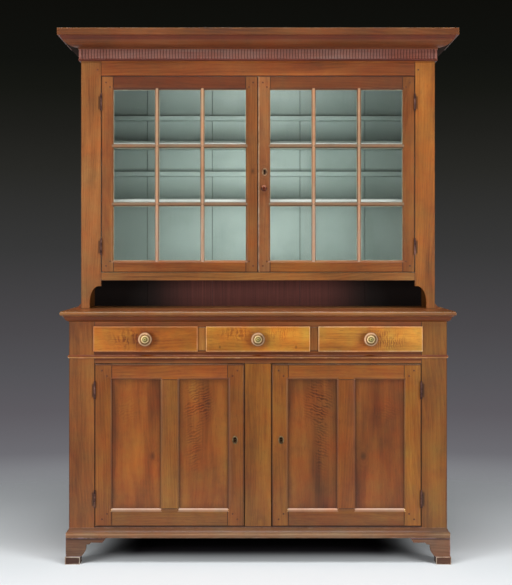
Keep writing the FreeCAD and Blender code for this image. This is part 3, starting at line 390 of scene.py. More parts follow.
def ease(piece, width):
    """Take the sharpness off a piece's edges and shade it smooth. A plane never adds wood."""
    if width:
        low, high = (Vector(corner) for corner in (piece.bound_box[0], piece.bound_box[6]))
        apply(piece, "BEVEL", width=width * MM, segments=BEVEL_STEPS, limit_method="ANGLE",
              angle_limit=EASED_ANGLE, profile=0.5)
        for vertex in piece.data.vertices:
            vertex.co = [min(max(vertex.co[axis], low[axis]), high[axis]) for axis in (X, Y, Z)]
    bpy.ops.object.shade_smooth_by_angle(angle=SMOOTH_ANGLE)
    apply(piece, "WEIGHTED_NORMAL", keep_sharp=True)


print("edges sharper than", round(math.degrees(EASED_ANGLE)), "degrees are eased")

# %% [markdown]
# Wood looks right only if each board has a place of its own in the tree. So each board gets the grain's own
# axes: along the board's longest side, across it and through it, with a place in the log that is its alone.
# How far a point is from the board's ends and sides is kept too, because wear starts at edges.

# %% Give each board its place in the log
LOG_ALONG, LOG_ASIDE, LOG_OUT = (0, 3), (-0.11, 0.11), (0.03, 0.15)
TONE_HALF = 0.5


def lay_grain(piece, seed, spread=1.0, tints=(), through=None):
    """Write the attributes that the wood finishes read. Through is the axis that counts as the depth."""
    mesh = piece.data
    laid = {name: [None] * len(mesh.vertices) for name in ("grain", "low_side", "high_side", "tint")}
    tone = [0] * len(mesh.vertices)
    for number, members in enumerate(islands(mesh)):
        draw = random.Random(f"{seed}-{number}")
        low, high = corners([mesh.vertices[i].co for i in members])
        order = sorted((X, Y, Z), key=lambda axis: low[axis] - high[axis])
        if through is not None:
            order.remove(through)
            order.append(through)
        shift = [draw.uniform(*ends) for ends in (LOG_ALONG, LOG_ASIDE, LOG_OUT)]
        shade = draw.uniform(-TONE_HALF, TONE_HALF) * spread
        middle = [(a + b) / 2 for a, b in zip(low, high)]
        stain = next((light for axis, start, stop, light in tints
                      if start * MM <= middle[axis] <= stop * MM), (1, 1, 1))
        for i in members:
            spot = mesh.vertices[i].co
            laid["grain"][i] = [spot[axis] - middle[axis] + way for axis, way in zip(order, shift)]
            laid["low_side"][i] = [spot[axis] - low[axis] for axis in order]
            laid["high_side"][i] = [high[axis] - spot[axis] for axis in order]
            laid["tint"][i] = stain
            tone[i] = shade
    for name, rows in laid.items():
        values = [value for row in rows for value in row]
        mesh.attributes.new(name, "FLOAT_VECTOR", "POINT").data.foreach_set("vector", values)
    mesh.attributes.new("tone", "FLOAT", "POINT").data.foreach_set("value", tone)


print("a log is", LOG_ALONG[1], "m long")

# %% [markdown]
# Boards sawn from one tree still age apart: one faces the window, the next is handled every day. A joiner
# evens that out with stain, and here each board may get a stain of its own. A row says along which axis the
# middle of the board is looked at, from where to where, and how much red, green and blue it then gives back.

# %% Stain single boards
ALL = 9999
# The cross bars of the glazing are darkened as painted shade; the upright bars keep their colour.
BAR_SHADE = ((Z, 1560, 1640, (1, 1, 1)), (Z, 0, ALL, (0.49, 0.5, 0.46)))
TINTS = {
    "upper_stiles": ((X, -ALL, 0, (0.95, 0.98, 1.34)), (X, 0, ALL, (1.05, 1.0, 0.86))),
    "upper_rails": ((Z, 2000, ALL, (1.33, 1.13, 1.15)), (Z, 0, 2000, (1.9, 2.86, 4.15))),
    "base_stiles": ((X, -ALL, -300, (1.08, 1.04, 1.28)), (X, 300, ALL, (0.93, 0.97, 0.93)),
                    (X, -300, 300, (1.03, 1.06, 0.98))),
    "base_rails": ((Z, 0, 300, (0.53, 0.7, 1.65)), (Z, 900, ALL, (1.16, 1.16, 1.65))),
    "drawer_dividers": ((Z, 0, ALL, (1.31, 1.53, 2.1)),),
    "waist_bead": ((Z, 0, ALL, (0.98, 0.88, 0.6)),),
    "counter_molding": ((Z, 0, ALL, (0.71, 0.6, 0.45)),),
    "base_molding": ((Z, 0, ALL, (1.36, 2.4, 5.6)),),
    "bracket_feet": ((Z, 0, ALL, (1.1, 2.14, 9.5)),),
    "upper_left_door_rails": ((Z, 1900, ALL, (0.49, 0.36, 0.49)), (Z, 0, 1900, (1.02, 0.96, 0.9))),
    "upper_right_door_rails": ((Z, 1900, ALL, (0.565, 0.49, 0.68)), (Z, 0, 1900, (1.0, 0.96, 0.88))),
    "upper_left_door_stiles": ((X, -ALL, -300, (0.88, 0.867, 1.08)), (X, -300, 0, (1.0, 1.08, 1.31))),
    "upper_right_door_stiles": ((X, 300, ALL, (0.88, 0.84, 0.8)), (X, 0, 300, (0.95, 1.04, 1.72))),
    "upper_left_door_glazing_bars": BAR_SHADE,
    "upper_right_door_glazing_bars": BAR_SHADE,
    "lower_left_door_rails": ((Z, 500, ALL, (1.22, 1.1, 0.95)), (Z, 0, 500, (0.69, 0.7, 1.0))),
    "lower_right_door_rails": ((Z, 500, ALL, (1.03, 0.98, 0.88)), (Z, 0, 500, (0.69, 0.7, 1.0))),
    "lower_left_door_stiles": ((X, -500, -200, (1.03, 1.18, 1.28)), (X, -200, 0, (0.9, 0.92, 0.98))),
    "lower_right_door_stiles": ((X, 200, 500, (1.0, 0.93, 0.88)), (X, 500, ALL, (1.35, 1.63, 1.42)),
                                (X, 0, 200, (0.95, 1.0, 0.94))),
    "lower_left_door_panels": ((X, -ALL, -360, (1.18, 1.16, 1.08)),),
    "lower_right_door_panels": ((X, 0, 360, (0.88, 0.91, 1.02)), (X, 360, ALL, (0.93, 0.9, 0.97))),
    "drawer_left_front": ((X, -ALL, 0, (0.89, 0.8, 0.93)),),
    "drawer_center_front": ((X, -ALL, ALL, (1.02, 1.07, 1.3)),),
    "drawer_right_front": ((X, 0, ALL, (1.22, 1.42, 2.05)),)}
print("nodes with stained boards:", len(TINTS))

# %% [markdown]
# Now one function can do a joiner's whole round on a node: merge, ease, lay the grain, brush on the finish,
# and hang the piece where the bare one hung.

# %% Dress a node
dressed = {}


def dress(node, body, finish, width=0.8, through=None):
    """Replace a CAD node by its boards with eased edges, grain and a finish, or a list of finishes."""
    piece = merged_copy(node, "dressed_" + node)
    ease(piece, width)
    lay_grain(piece, node, tints=TINTS.get(node, ()), through=through)
    piece.data.attributes.remove(piece.data.attributes["board"])
    for kind in finish if isinstance(finish, list) else [finish]:
        piece.data.materials.append(kind)
    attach(piece, body)
    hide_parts(node)
    dressed[node] = piece


print("nodes to dress:", len(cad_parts) - 2)

# %% [markdown]
# ## Walnut, as a tree grows it
#
# Growth rings are rings round the pith, bent a little, and a board cuts through them. A knot pushes them
# aside. Rings are drawn at 9 mm instead of 4 mm, so that they show from five metres away. A wood texture
# could be painted on, but it would stop at every edge, and this figure runs through the board.

# %% Growth rings
RING = 9
TAPER = 0.035
LATE_WOOD = 0.85
BEND_PACE, BEND_REACH = (1.4, 7, 7), (0, 0.05, 0.05)


def spot_offset(tree, here, x, z, wide, tall):
    """The way from a place on the front to a point, in widths and heights. Both halves are alike."""
    apart = put(tree, "VectorMath", here, operation="ABSOLUTE")
    apart = put(tree, "VectorMath", apart, (x * MM, 0, z * MM), operation="SUBTRACT")
    return put(tree, "VectorMath", apart, (1 / (wide * MM), 0, 1 / (tall * MM)), operation="MULTIPLY")


def spot_distance(tree, *place):
    """How far a point is from a place on the front, in radii of an ellipse."""
    return put(tree, "VectorMath", spot_offset(tree, *place), operation="LENGTH").outputs["Value"]


def growth_rings(tree, log, here, knot):
    """How light the rings are, the place in the log that they bend with, and the dark eye of a knot."""
    bend = put(tree, "VectorMath", log, BEND_PACE, operation="MULTIPLY")
    bend = put(tree, "TexNoise", {"Vector": bend, "Scale": 1, "Detail": 2}).outputs["Color"]
    bend = put(tree, "VectorMath", bend, (0.5, 0.5, 0.5), operation="SUBTRACT")
    bend = put(tree, "VectorMath", bend, BEND_REACH, operation="MULTIPLY")
    bent = put(tree, "VectorMath", log, bend, operation="ADD")
    way = put(tree, "SeparateXYZ", bent).outputs
    away = put(tree, "VectorMath", put(tree, "CombineXYZ", 0, way[Y], way[Z]), operation="LENGTH")
    away = put(tree, "Math", way[X], TAPER, away.outputs["Value"], operation="MULTIPLY_ADD")
    eye = None
    if knot:
        x, z, radius = knot
        apart = spot_distance(tree, here, x, z, radius, 1.5 * radius)
        swirl = put(tree, "MapRange", apart, 0, 4, 2.6 * RING * MM, 0, **SOFT)
        away = put(tree, "Math", away, swirl, operation="ADD")
        eye = put(tree, "MapRange", apart, 0.2, 1.8, 0.5, 0, **SOFT)
    turn = put(tree, "Math", away, RING * MM, operation="DIVIDE")
    turn = put(tree, "Math", turn, operation="FRACT")
    early = put(tree, "MapRange", turn, 0, LATE_WOOD, -0.5, 0.5)
    late = put(tree, "MapRange", turn, LATE_WOOD, 1, 0, 1)
    return put(tree, "Math", early, late, operation="SUBTRACT"), bent, eye


print("rings every", RING, "mm")

# %% [markdown]
# Fibres run along the board and streak it, minerals cloud it, and pores open as short dark lines. Each is a
# cloud of noise that is stretched along the grain, with its width in millimetres.

# %% Fibres, clouds and pores
FIBRE_WIDTH = 5
CLOUD_WIDTH, CLOUD_STRETCH = 140, 6
PORE_WIDTH = 0.9
BOARD_TONE = 0.22


def fibres_and_pores(tree, look, log, bent, ring):
    """How light each point is, with the fibres and the pores alone, which also roughen the surface."""
    fibre = put(tree, "VectorMath", bent, (3, 1000 / FIBRE_WIDTH, 1000 / FIBRE_WIDTH), operation="MULTIPLY")
    fibre = put(tree, "TexNoise", {"Vector": fibre, "Scale": 1, "Detail": 4, "Roughness": 0.6})
    across = 1800 / CLOUD_WIDTH
    haze = put(tree, "VectorMath", bent, (across / CLOUD_STRETCH, across, across), operation="MULTIPLY")
    haze = put(tree, "TexNoise", {"Vector": haze, "Scale": 1, "Detail": 3})
    pit = put(tree, "VectorMath", log, (35, 1000 / PORE_WIDTH, 1000 / PORE_WIDTH), operation="MULTIPLY")
    pit = put(tree, "TexNoise", {"Vector": pit, "Scale": 1, "Detail": 1})
    pit = put(tree, "MapRange", pit, 0.6, 0.72, 0, 1)
    tone = put(tree, "Attribute", attribute_name="tone").outputs["Fac"]
    light = put(tree, "Math", tone, BOARD_TONE, 0.5, operation="MULTIPLY_ADD")
    light = put(tree, "Math", ring, look.rings, light, operation="MULTIPLY_ADD")
    for source, weight in ((fibre, look.streaks), (haze, look.clouds)):
        centred = put(tree, "Math", source, 0.5, operation="SUBTRACT")
        light = put(tree, "Math", centred, weight * 2, light, operation="MULTIPLY_ADD")
    return light, fibre, pit


print("fibres", FIBRE_WIDTH, "mm, clouds", CLOUD_WIDTH, "mm, pores", PORE_WIDTH, "mm")

# %% [markdown]
# Where the trunk was under strain the fibres ripple, and the polish shows bands across the board. Such wood
# is dear, so it goes to panels and drawer fronts. A flame is an ellipse in which a wave runs along the
# board, slanted and broken up so that no two bands are alike.

# %% Flames
RIPPLE = 12
FLAME_SLANT = 190
FLAME_SWIRL, SWIRLS_PER_METRE = 17, 38
BREAKS_PER_METRE = 34
FLAME_SHADE = -0.6


def flamed(tree, flames, log, here, light):
    """Add bands to the lightness. A flame has its middle, its two radii and its strength."""
    blur = put(tree, "TexNoise", {"Vector": here, "Scale": SWIRLS_PER_METRE, "Detail": 3, "Roughness": 0.6})
    along = put(tree, "SeparateXYZ", log).outputs[X]
    swing = put(tree, "Math", along, 2 * math.pi / (RIPPLE * MM), operation="MULTIPLY")
    swing = put(tree, "Math", blur, FLAME_SWIRL, swing, operation="MULTIPLY_ADD")
    slant = put(tree, "SeparateXYZ", put(tree, "VectorMath", here, operation="ABSOLUTE")).outputs[X]
    swing = put(tree, "Math", slant, FLAME_SLANT, swing, operation="MULTIPLY_ADD")
    band = put(tree, "Math", swing, operation="SINE")
    broken = put(tree, "TexNoise", {"Vector": here, "Scale": BREAKS_PER_METRE, "Detail": 1})
    broken = put(tree, "MapRange", broken, 0.3, 0.52, 0, 1, **SOFT)
    for x, z, wide, tall, depth in flames:
        share = spot_distance(tree, here, x, z, wide, tall)
        share = put(tree, "MapRange", share, 0.2, 1, depth, 0, **SOFT)
        share = put(tree, "Math", share, broken, operation="MULTIPLY")
        light = put(tree, "Math", band, share, light, operation="MULTIPLY_ADD")
        light = put(tree, "Math", share, FLAME_SHADE, light, operation="MULTIPLY_ADD")
    return light


print("ripples every", RIPPLE, "mm")

# %% [markdown]
# Hands rub an arris pale, while dust and old wax darken the joint beside it. Both need to know how far a
# point is from the nearest edge of its own face, which is the middle one of the three distances to the
# board's sides, because the smallest is zero on the face itself.

# %% Rubbed edges and dirty joints
EDGE_SHADE_AND_DIRT = (22, 48)
JOINT_DIRT = (1.6, 3.0)


def arris_distance(tree):
    """How far a point on a board's face is from the nearest edge of that face."""
    side = [put(tree, "Attribute", attribute_name=name).outputs["Vector"]
            for name in ("low_side", "high_side")]
    side = put(tree, "SeparateXYZ", put(tree, "VectorMath", *side, operation="MINIMUM")).outputs
    least = put(tree, "Math", side[X], side[Y], operation="MINIMUM")
    most = put(tree, "Math", side[X], side[Y], operation="MAXIMUM")
    most = put(tree, "Math", most, side[Z], operation="MINIMUM")
    return put(tree, "Math", least, most, operation="MAXIMUM")


def edged(tree, look, here, skin, wear_and_highlight):
    """Rub the edges, darken a face toward its edges with dirt and painted shade, let dirt into the joints,
    and say how much polish is left.
    """
    arris = arris_distance(tree)
    ragged = put(tree, "TexNoise", {"Vector": here, "Scale": 30, "Detail": 4, "Roughness": 0.7})
    if look.edge_dirt:
        dirt = put(tree, "Math", ragged, 30 * MM, arris, operation="MULTIPLY_ADD")
        dirt = put(tree, "MapRange", dirt, *(reach * MM for reach in EDGE_SHADE_AND_DIRT), look.edge_dirt, 0, **SOFT)
        skin = put(tree, "Mix", {0: dirt, 6: skin, 7: look.shade}, **RGBA)
    reach = put(tree, "MapRange", ragged, 0.4, 0.7, *(end * MM for end in look.reach))
    rubbed = put(tree, "Math", arris, reach, operation="DIVIDE")
    rubbed = put(tree, "MapRange", rubbed, 0.3, 1, look.wear, 0)
    skin = put(tree, "Mix", {0: rubbed, 6: skin, 7: wear_and_highlight}, **RGBA)
    if not look.joint:
        return skin, look.coat
    dirt = put(tree, "Math", ragged, 1.2 * MM, arris, operation="MULTIPLY_ADD")
    dirt = put(tree, "MapRange", dirt, *(reach * MM for reach in JOINT_DIRT), look.joint, 0, **SOFT)
    skin = put(tree, "Mix", {0: dirt, 6: skin, 7: look.shade}, **RGBA)
    return skin, put(tree, "Math", dirt, -look.coat, look.coat, operation="MULTIPLY_ADD")


print("joint dirt reaches", JOINT_DIRT[1], "mm")

# %% [markdown]
# Moldings and bars are not flat, and light falls on their parts unlike. What looks up gets a painted
# highlight, a hollow gets painted shade, and the crest of a bar gets a painted highlight.

# %% Painted highlights on ledges and crests, painted shade in hollows


def molded(tree, look, skin, wear_and_highlight, polish):
    """Painted highlights on ledges and crests and painted shade in hollows, by how a face lies and how deep
    it is in the board.
    """
    facing = put(tree, "SeparateXYZ", put(tree, "NewGeometry").outputs["Normal"]).outputs[Z]
    # Painted highlight: faces that look up, though not flat tops, take the pale colour.
    up = put(tree, "Math", put(tree, "MapRange", facing, 0.2, 0.45, 0, 1, **SOFT),
             put(tree, "MapRange", facing, 0.97, 0.8, 0, 1, **SOFT), operation="MULTIPLY")
    up = put(tree, "Math", up, look.ledge, operation="MULTIPLY")
    skin = put(tree, "Mix", {0: up, 6: skin, 7: wear_and_highlight}, **RGBA)
    depth = put(tree, "Attribute", attribute_name="low_side").outputs["Vector"]
    depth = put(tree, "SeparateXYZ", depth).outputs[Z]
    # Painted shade: deep faces that do not look up go dark.
    if look.hollow:
        start, stop, share = look.hollow
        painted_recess_shade = put(tree, "MapRange", depth, start * MM, stop * MM, 0, share, **SOFT)
        level = put(tree, "MapRange", facing, 0.3, 0.1, 0, 1, **SOFT)
        painted_recess_shade = put(tree, "Math", painted_recess_shade, level, operation="MULTIPLY")
        skin = put(tree, "Mix", {0: painted_recess_shade, 6: skin, 7: look.shade}, **RGBA)
        polish = put(tree, "Math", painted_recess_shade, -look.coat, polish, operation="MULTIPLY_ADD")
    # Painted highlight on the foremost part of a bar.
    if look.crest:
        start, stop, share = look.crest
        crest = put(tree, "MapRange", depth, start * MM, stop * MM, share, 0, **SOFT)
        skin = put(tree, "Mix", {0: crest, 6: skin, 7: wear_and_highlight}, **RGBA)
    return skin, polish


print("ledges, hollows and crests follow the shape")

# %% [markdown]
# Some marks have a place: fingers darken a drawer round its knob, a painted highlight lies on the rail under
# each panel, the wood beside each hinge is darker, and painted shade darkens the underside.

# %% Marks of use
KNOB_LOW, KNOB_HIGH = box_mm("drawer_right_knob")
KNOB_STEP = (KNOB_LOW[X] + KNOB_HIGH[X]) / 2
KNOB_LEVEL = (KNOB_LOW[Z] + KNOB_HIGH[Z]) / 2
HAND_WIDE, HAND_TALL = 75, 60


def from_knob(tree, here):
    """Where a point is, sideways from the nearest drawer's knob."""
    return put(tree, "Math", put(tree, "SeparateXYZ", here).outputs[X], KNOB_STEP / 2 * MM,
               -KNOB_STEP / 2 * MM, operation="WRAP")


def handled(tree, look, here, skin):
    """Dark round the knobs, where fingers take hold."""
    knob = put(tree, "CombineXYZ", from_knob(tree, here), 0, put(tree, "SeparateXYZ", here).outputs[Z])
    near = spot_distance(tree, knob, 0, KNOB_LEVEL, HAND_WIDE, HAND_TALL)
    blur = put(tree, "TexNoise", {"Vector": here, "Scale": 26, "Detail": 3})
    near = put(tree, "Math", blur, 1.1, near, operation="MULTIPLY_ADD")
    near = put(tree, "MapRange", near, 0.75, 1.55, look.smudge, 0, **SOFT)
    return put(tree, "Mix", {0: near, 6: skin, 7: "6a2c16"}, **RGBA)


def marked(tree, look, here, skin, wear_and_highlight):
    """Painted highlights on the sills, darker spots by the hinges, and painted shade below a level."""
    spot = put(tree, "SeparateXYZ", put(tree, "VectorMath", here, operation="ABSOLUTE")).outputs
    # Painted highlight on the rail below each panel.
    for x, half, top, drop in look.sills:
        beside = put(tree, "Math", spot[X], x * MM, operation="SUBTRACT")
        beside = put(tree, "Math", beside, operation="ABSOLUTE")
        beside = put(tree, "Math", beside, half * MM, operation="SUBTRACT")
        fallen = put(tree, "Math", top * MM, spot[Z], operation="SUBTRACT")
        within = put(tree, "Math", beside, fallen, operation="LESS_THAN")
        share = put(tree, "MapRange", fallen, 0.4 * drop * MM, drop * MM, 0.35, 0, **SOFT)
        share = put(tree, "Math", share, within, operation="MULTIPLY")
        skin = put(tree, "Mix", {0: share, 6: skin, 7: wear_and_highlight}, **RGBA)
    # Darker spots beside the hinges.
    for *place, strength in look.stains:
        apart = put(tree, "VectorMath", spot_offset(tree, here, *place), operation="ABSOLUTE")
        apart = put(tree, "SeparateXYZ", apart).outputs
        apart = put(tree, "Math", apart[X], apart[Z], operation="MAXIMUM")
        darkening = put(tree, "MapRange", apart, 0.85, 1.15, strength, 0, **SOFT)
        skin = put(tree, "Mix", {0: darkening, 6: skin, 7: look.shade}, **RGBA)
    # Painted shade: below a level the wood goes near-black.
    if look.under is not None:
        bare = put(tree, "Math", spot[Z], look.under * MM, operation="LESS_THAN")
        skin = put(tree, "Mix", {0: bare, 6: skin, 7: "0d0908"}, **RGBA)
    return skin


print("knobs stand", round(KNOB_STEP, 1), "mm apart")

# %% [markdown]
# Last comes what two centuries do to a whole surface: grime in smears, patches that have turned redder or
# more golden, and the stain of the single board. Bands then lighten or darken strips of moldings, rails and
# the counter, most of them painted highlight and painted shade.

# %% Age
SMEARS_PER_METRE, PATCHES_PER_METRE = 9, 12
REDDER = (0.12, -0.2, -0.4)


def aged(tree, look, here, skin):
    """Grime, stain, patches and bands over a skin. The grime comes back too, since it dulls the polish."""
    smear = put(tree, "TexNoise", {"Vector": here, "Scale": SMEARS_PER_METRE, "Detail": 5, "Roughness": 0.65})
    smear = put(tree, "MapRange", smear, 0.5, 0.75, 0, look.grime)
    skin = put(tree, "Mix", {0: smear, 6: skin, 7: look.shade}, **RGBA)
    tint = put(tree, "Attribute", attribute_name="tint").outputs["Vector"]
    skin = put(tree, "VectorMath", skin, tint, operation="MULTIPLY")
    patch = put(tree, "TexNoise", {"Vector": here, "Scale": PATCHES_PER_METRE, "Detail": 4, "Roughness": 0.6})
    patch = put(tree, "Math", patch, 2 * look.mottle, -look.mottle, operation="MULTIPLY_ADD")
    patch = put(tree, "VectorMath", patch, REDDER, (1, 1, 1), operation="MULTIPLY_ADD")
    skin = put(tree, "VectorMath", skin, patch, operation="MULTIPLY")
    mirrored = put(tree, "VectorMath", here, operation="ABSOLUTE")
    # Bands: strips made lighter or darker, mostly painted highlight and painted shade.
    for axis, low, high, soft, change in look.bands:
        place = put(tree, "SeparateXYZ", here if axis == Y else mirrored).outputs[axis]
        above = put(tree, "MapRange", place, (low - soft) * MM, (low + soft) * MM, 0, 1, **SOFT)
        below = put(tree, "MapRange", place, (high - soft) * MM, (high + soft) * MM, 1, 0, **SOFT)
        inside = put(tree, "Math", above, below, operation="MULTIPLY")
        changed = put(tree, "VectorMath", skin, change, operation="MULTIPLY")
        skin = put(tree, "Mix", {0: inside, 6: skin, 7: changed}, **RGBA)
    return skin, smear


print("smears of", round(1000 / SMEARS_PER_METRE), "mm")

# %% [markdown]
# An old shellac and wax finish makes all that warm, with a satin gloss: a thin clear coat over wood that is
# a little rough. Fibres and pores roughen it, and a hand plane has left faint waves. Each wood below starts
# from this plain one and says only what it has of its own.

# %% Wood finish
# Ledge, hollow and crest paint highlight and shade by shape, sills and under paint them at given places, and
# bands in strips. The darkening toward a face's edges is dirt together with painted shade.
PLAIN_WOOD = {
    "rough": 0.42, "coat": 0.4, "gleam": 0.2,
    "rings": 0.1, "streaks": 0.26, "clouds": 0.5, "pores": 0.35, "flames": (), "knot": None,
    "wear": 0.06, "reach": (0.4, 4.5), "joint": 0.75, "edge_dirt": 0.0,
    "ledge": 0.5, "hollow": None, "crest": None,
    "smudge": 0.0, "sills": (), "stains": (), "under": None,
    "shade": "1c0b06", "grime": 0.22, "mottle": 1.25, "bands": ()}


def wood(name, dark, middle, light, wear_and_highlight, **own):
    """A polished wood: dark, middle and light are its colours, and wear_and_highlight is what a rubbed edge
    and a painted highlight show.
    """
    look = SimpleNamespace(**{**PLAIN_WOOD, **own})
    material, tree = new_finish(name)
    log = put(tree, "Attribute", attribute_name="grain").outputs["Vector"]
    here = put(tree, "TexCoord").outputs["Object"]
    ring, bent, eye = growth_rings(tree, log, here, look.knot)
    figure, fibre, pit = fibres_and_pores(tree, look, log, bent, ring)
    if look.flames:
        figure = flamed(tree, look.flames, log, here, figure)
    skin = shaded(put(tree, "ValToRGB", figure), (0.12, dark), (0.5, middle), (0.9, light))
    if eye:
        skin = put(tree, "Mix", {0: eye, 6: skin, 7: look.shade}, **RGBA)
    open_pore = put(tree, "Math", pit, look.pores, operation="MULTIPLY")
    skin = put(tree, "Mix", {0: open_pore, 6: skin, 7: look.shade}, **RGBA)
    if look.smudge:
        skin = handled(tree, look, here, skin)
    skin, polish = edged(tree, look, here, skin, wear_and_highlight)
    skin, polish = molded(tree, look, skin, wear_and_highlight, polish)
    skin = marked(tree, look, here, skin, wear_and_highlight)
    skin, smear = aged(tree, look, here, skin)

    gloss = put(tree, "Math", fibre, 0.14, look.rough - 0.07, operation="MULTIPLY_ADD")
    gloss = put(tree, "Math", pit, 0.2, gloss, operation="MULTIPLY_ADD")
    gloss = put(tree, "Math", smear, 0.25, gloss, operation="MULTIPLY_ADD")
    height = put(tree, "Math", pit, -0.5, fibre, operation="MULTIPLY_ADD")
    bump = put(tree, "Bump", {"Strength": 0.35, "Distance": 0.5 * MM, "Height": height})
    plane = put(tree, "VectorMath", log, (5, 14, 14), operation="MULTIPLY")
    plane = put(tree, "TexNoise", {"Vector": plane, "Scale": 1, "Detail": 1})
    bump = put(tree, "Bump", {"Strength": 0.5, "Distance": 1 * MM, "Height": plane, "Normal": bump})
    put(tree, "OutputMaterial", put(tree, "BsdfPrincipled", {
        "Base Color": skin, "Roughness": gloss, "Normal": bump, "Coat Weight": polish,
        "Coat Roughness": 0.16, "IOR": 1.5, "Specular IOR Level": look.gleam}))
    return material


print("a plain wood has", len(PLAIN_WOOD), "values")

# %% [markdown]
# The frames and doors first. The upright boards of a face frame are cut from one plank, straight in the
# grain. Beside each hinge they are darker, and on the panelled doors a painted highlight lies on the rail
# under each panel. Where these marks lie is measured on the frame.

# %% Walnut of frames and doors
WALNUT_WEAR_AND_HIGHLIGHT = "b4713b"
SILL_LEVEL, SILL_DROP = 219, 10
DARK_ASIDE, DARK_SPOT_SIZE = 5, (8, 27, 0.6)

posts = sorted((low[X], high[X]) for low, high in solid_boxes("lower_right_door_stiles"))
SILLS = [((left[1] + right[0]) / 2, (right[0] - left[1]) / 2, SILL_LEVEL, SILL_DROP)
         for left, right in zip(posts, posts[1:])]
HINGE_DARK_SPOTS = [((low[X] + high[X]) / 2 + DARK_ASIDE, (low[Z] + high[Z]) / 2, *DARK_SPOT_SIZE)
                for low, high in solid_boxes("hinge_pins") if high[X] > 0]
# Oiled walnut: brown with a golden light in it, and a satin gloss.
frame_walnut = wood("oiled walnut of the frames", "4b2508", "6e3f13", "86551d", WALNUT_WEAR_AND_HIGHLIGHT,
                    stains=HINGE_DARK_SPOTS)
# Sun has bleached the upper stiles to a paler gold.
stile_walnut = wood("golden walnut of the upper stiles", "562e0f", "804d1d", "98612b", WALNUT_WEAR_AND_HIGHLIGHT,
                    stains=HINGE_DARK_SPOTS)
# Door walnut has painted shade in its hollows, and painted highlights on the small moldings that look up
# and on the rail under each panel.
door_walnut = wood("walnut of the doors", "532608", "734014", "8b561c", "dcae7c", wear=0.0,
                   hollow=(1.5, 7, 0.4), ledge=0.8, sills=SILLS, stains=HINGE_DARK_SPOTS)
# The glazed doors are redder, with one small knot, a little painted shade in their hollows and a faint
# painted highlight where they look up.
glazed_walnut = wood("walnut of the glazed doors", "52280c", "72421b", "8a5824", "c89c78", wear=0.0,
                     hollow=(1.5, 7, 0.15), ledge=0.12, knot=(22, 1613, 7), stains=HINGE_DARK_SPOTS)
# Glazing bars are thin: a painted highlight runs along their crest, and painted shade darkens their sides.
bar_walnut = wood("walnut of the glazing bars", "4d2e18", "6f4829", "845b39", "be997b", wear=0.0,
                  joint=0.0, hollow=(0.5, 3, 0.65), ledge=0.0, crest=(0.4, 1.8, 0.4))
print("hinge stains:", len(HINGE_DARK_SPOTS), "sills:", len(SILLS))

# %% [markdown]
# Rails and moldings are redder, because they were stained to match. Light falls on one member of a molding
# and shade on the next, and both are painted on in bands: an axis, from, to, how soft the change is, and the
# change of red, green and blue.

# %% Walnut of rails and moldings
RAIL_LIGHT_BANDS = ((Z, 2073.5, 2080, 1, (1.5, 1.9, 2.4)), (Z, 2029, 2073.5, 1, (0.86, 0.97, 1.15)),
              (Z, 2022, 2028, 1, (1.0, 1.3, 1.7)), (Z, 829, 835, 1, (0.7, 0.6, 0.5)),
              (Z, 854, 859, 1, (0.65, 0.5, 0.6)), (Z, 817.5, 822, 1, (1.5, 1.9, 2.8)),
              (Z, 822, 826, 1, (1.2, 1.4, 1.8)))
MOLDING_LIGHT_BANDS = ((Z, 837.2, 842.7, 0.8, (2.7, 5.2, 19)), (Z, 830, 838, 0.8, (0.75, 0.65, 0.6)),
                 (Z, 846, 854, 1, (0.85, 0.7, 0.5)), (Z, 129.5, 152, 0.8, (0.59, 0.53, 0.67)),
                 (Z, 125, 129.5, 0.8, (0.8, 0.8, 1.05)), (Z, 121, 125, 0.8, (1.34, 1.6, 2.6)),
                 (Z, 117, 121, 0.8, (1.1, 1.2, 1.9)), (Z, 109, 117, 0.8, (0.81, 0.9, 1.5)),
                 (Z, 100, 109, 0.8, (0.5, 0.5, 0.6)))
CORNICE_LIGHT_BANDS = ((Z, 2160, 2182, 2, (0.74, 0.7, 0.86)), (Z, 2142, 2160, 2, (0.97, 1.45, 2.3)),
                 (Z, 2120, 2142, 2, (0.85, 1.17, 1.9)))
FASCIA_BANDS = ((Z, 2176, 2206, 1, (0.88, 0.83, 0.82)),)
REED_SHADE_BANDS = ((Z, 2070, 2089, 0.6, (0.5, 0.25, 0.15)),)

# Red stain under wax: deep in the grain, and worn off along the edges. Its bands are painted highlight and
# painted shade.
red_walnut = wood("red walnut of rails", "391704", "5e2f0e", "764218", WALNUT_WEAR_AND_HIGHLIGHT, bands=RAIL_LIGHT_BANDS)
# Moldings are out of reach of a cloth, so they are duller. Their bands are painted highlight and painted
# shade.
molding_walnut = wood("red walnut of the moldings", "3a1603", "5f2e0b", "774014", WALNUT_WEAR_AND_HIGHLIGHT,
                      wear=0.35, joint=0.0, ledge=0.05, coat=0.15, bands=MOLDING_LIGHT_BANDS)
# The cornice's cove is nearly matt. Its bands paint shade on the top of the cove and light lower down.
cornice_walnut = wood("red walnut of the cornice", "411802", "652b0e", "7b3918", WALNUT_WEAR_AND_HIGHLIGHT,
                      coat=0.1, wear=0.1, joint=0.0, bands=CORNICE_LIGHT_BANDS)
# The cornice's returns face sideways, out of the light: this near-black copy of the walnut is painted shade,
# without polish.
return_shade_walnut = wood("painted shade on the cornice's returns", "1c100a", "24160e", "2c1c12", "3a2418",
                     rough=0.8, coat=0.0, gleam=0.04, wear=0.0, joint=0.0, ledge=0.0)
# The fascia has bleached to orange.
fascia_walnut = wood("orange walnut of the fascia", "3a1d0e", "5a3214", "744422", "b8824c", wear=0.3,
                     joint=0.0, bands=FASCIA_BANDS)
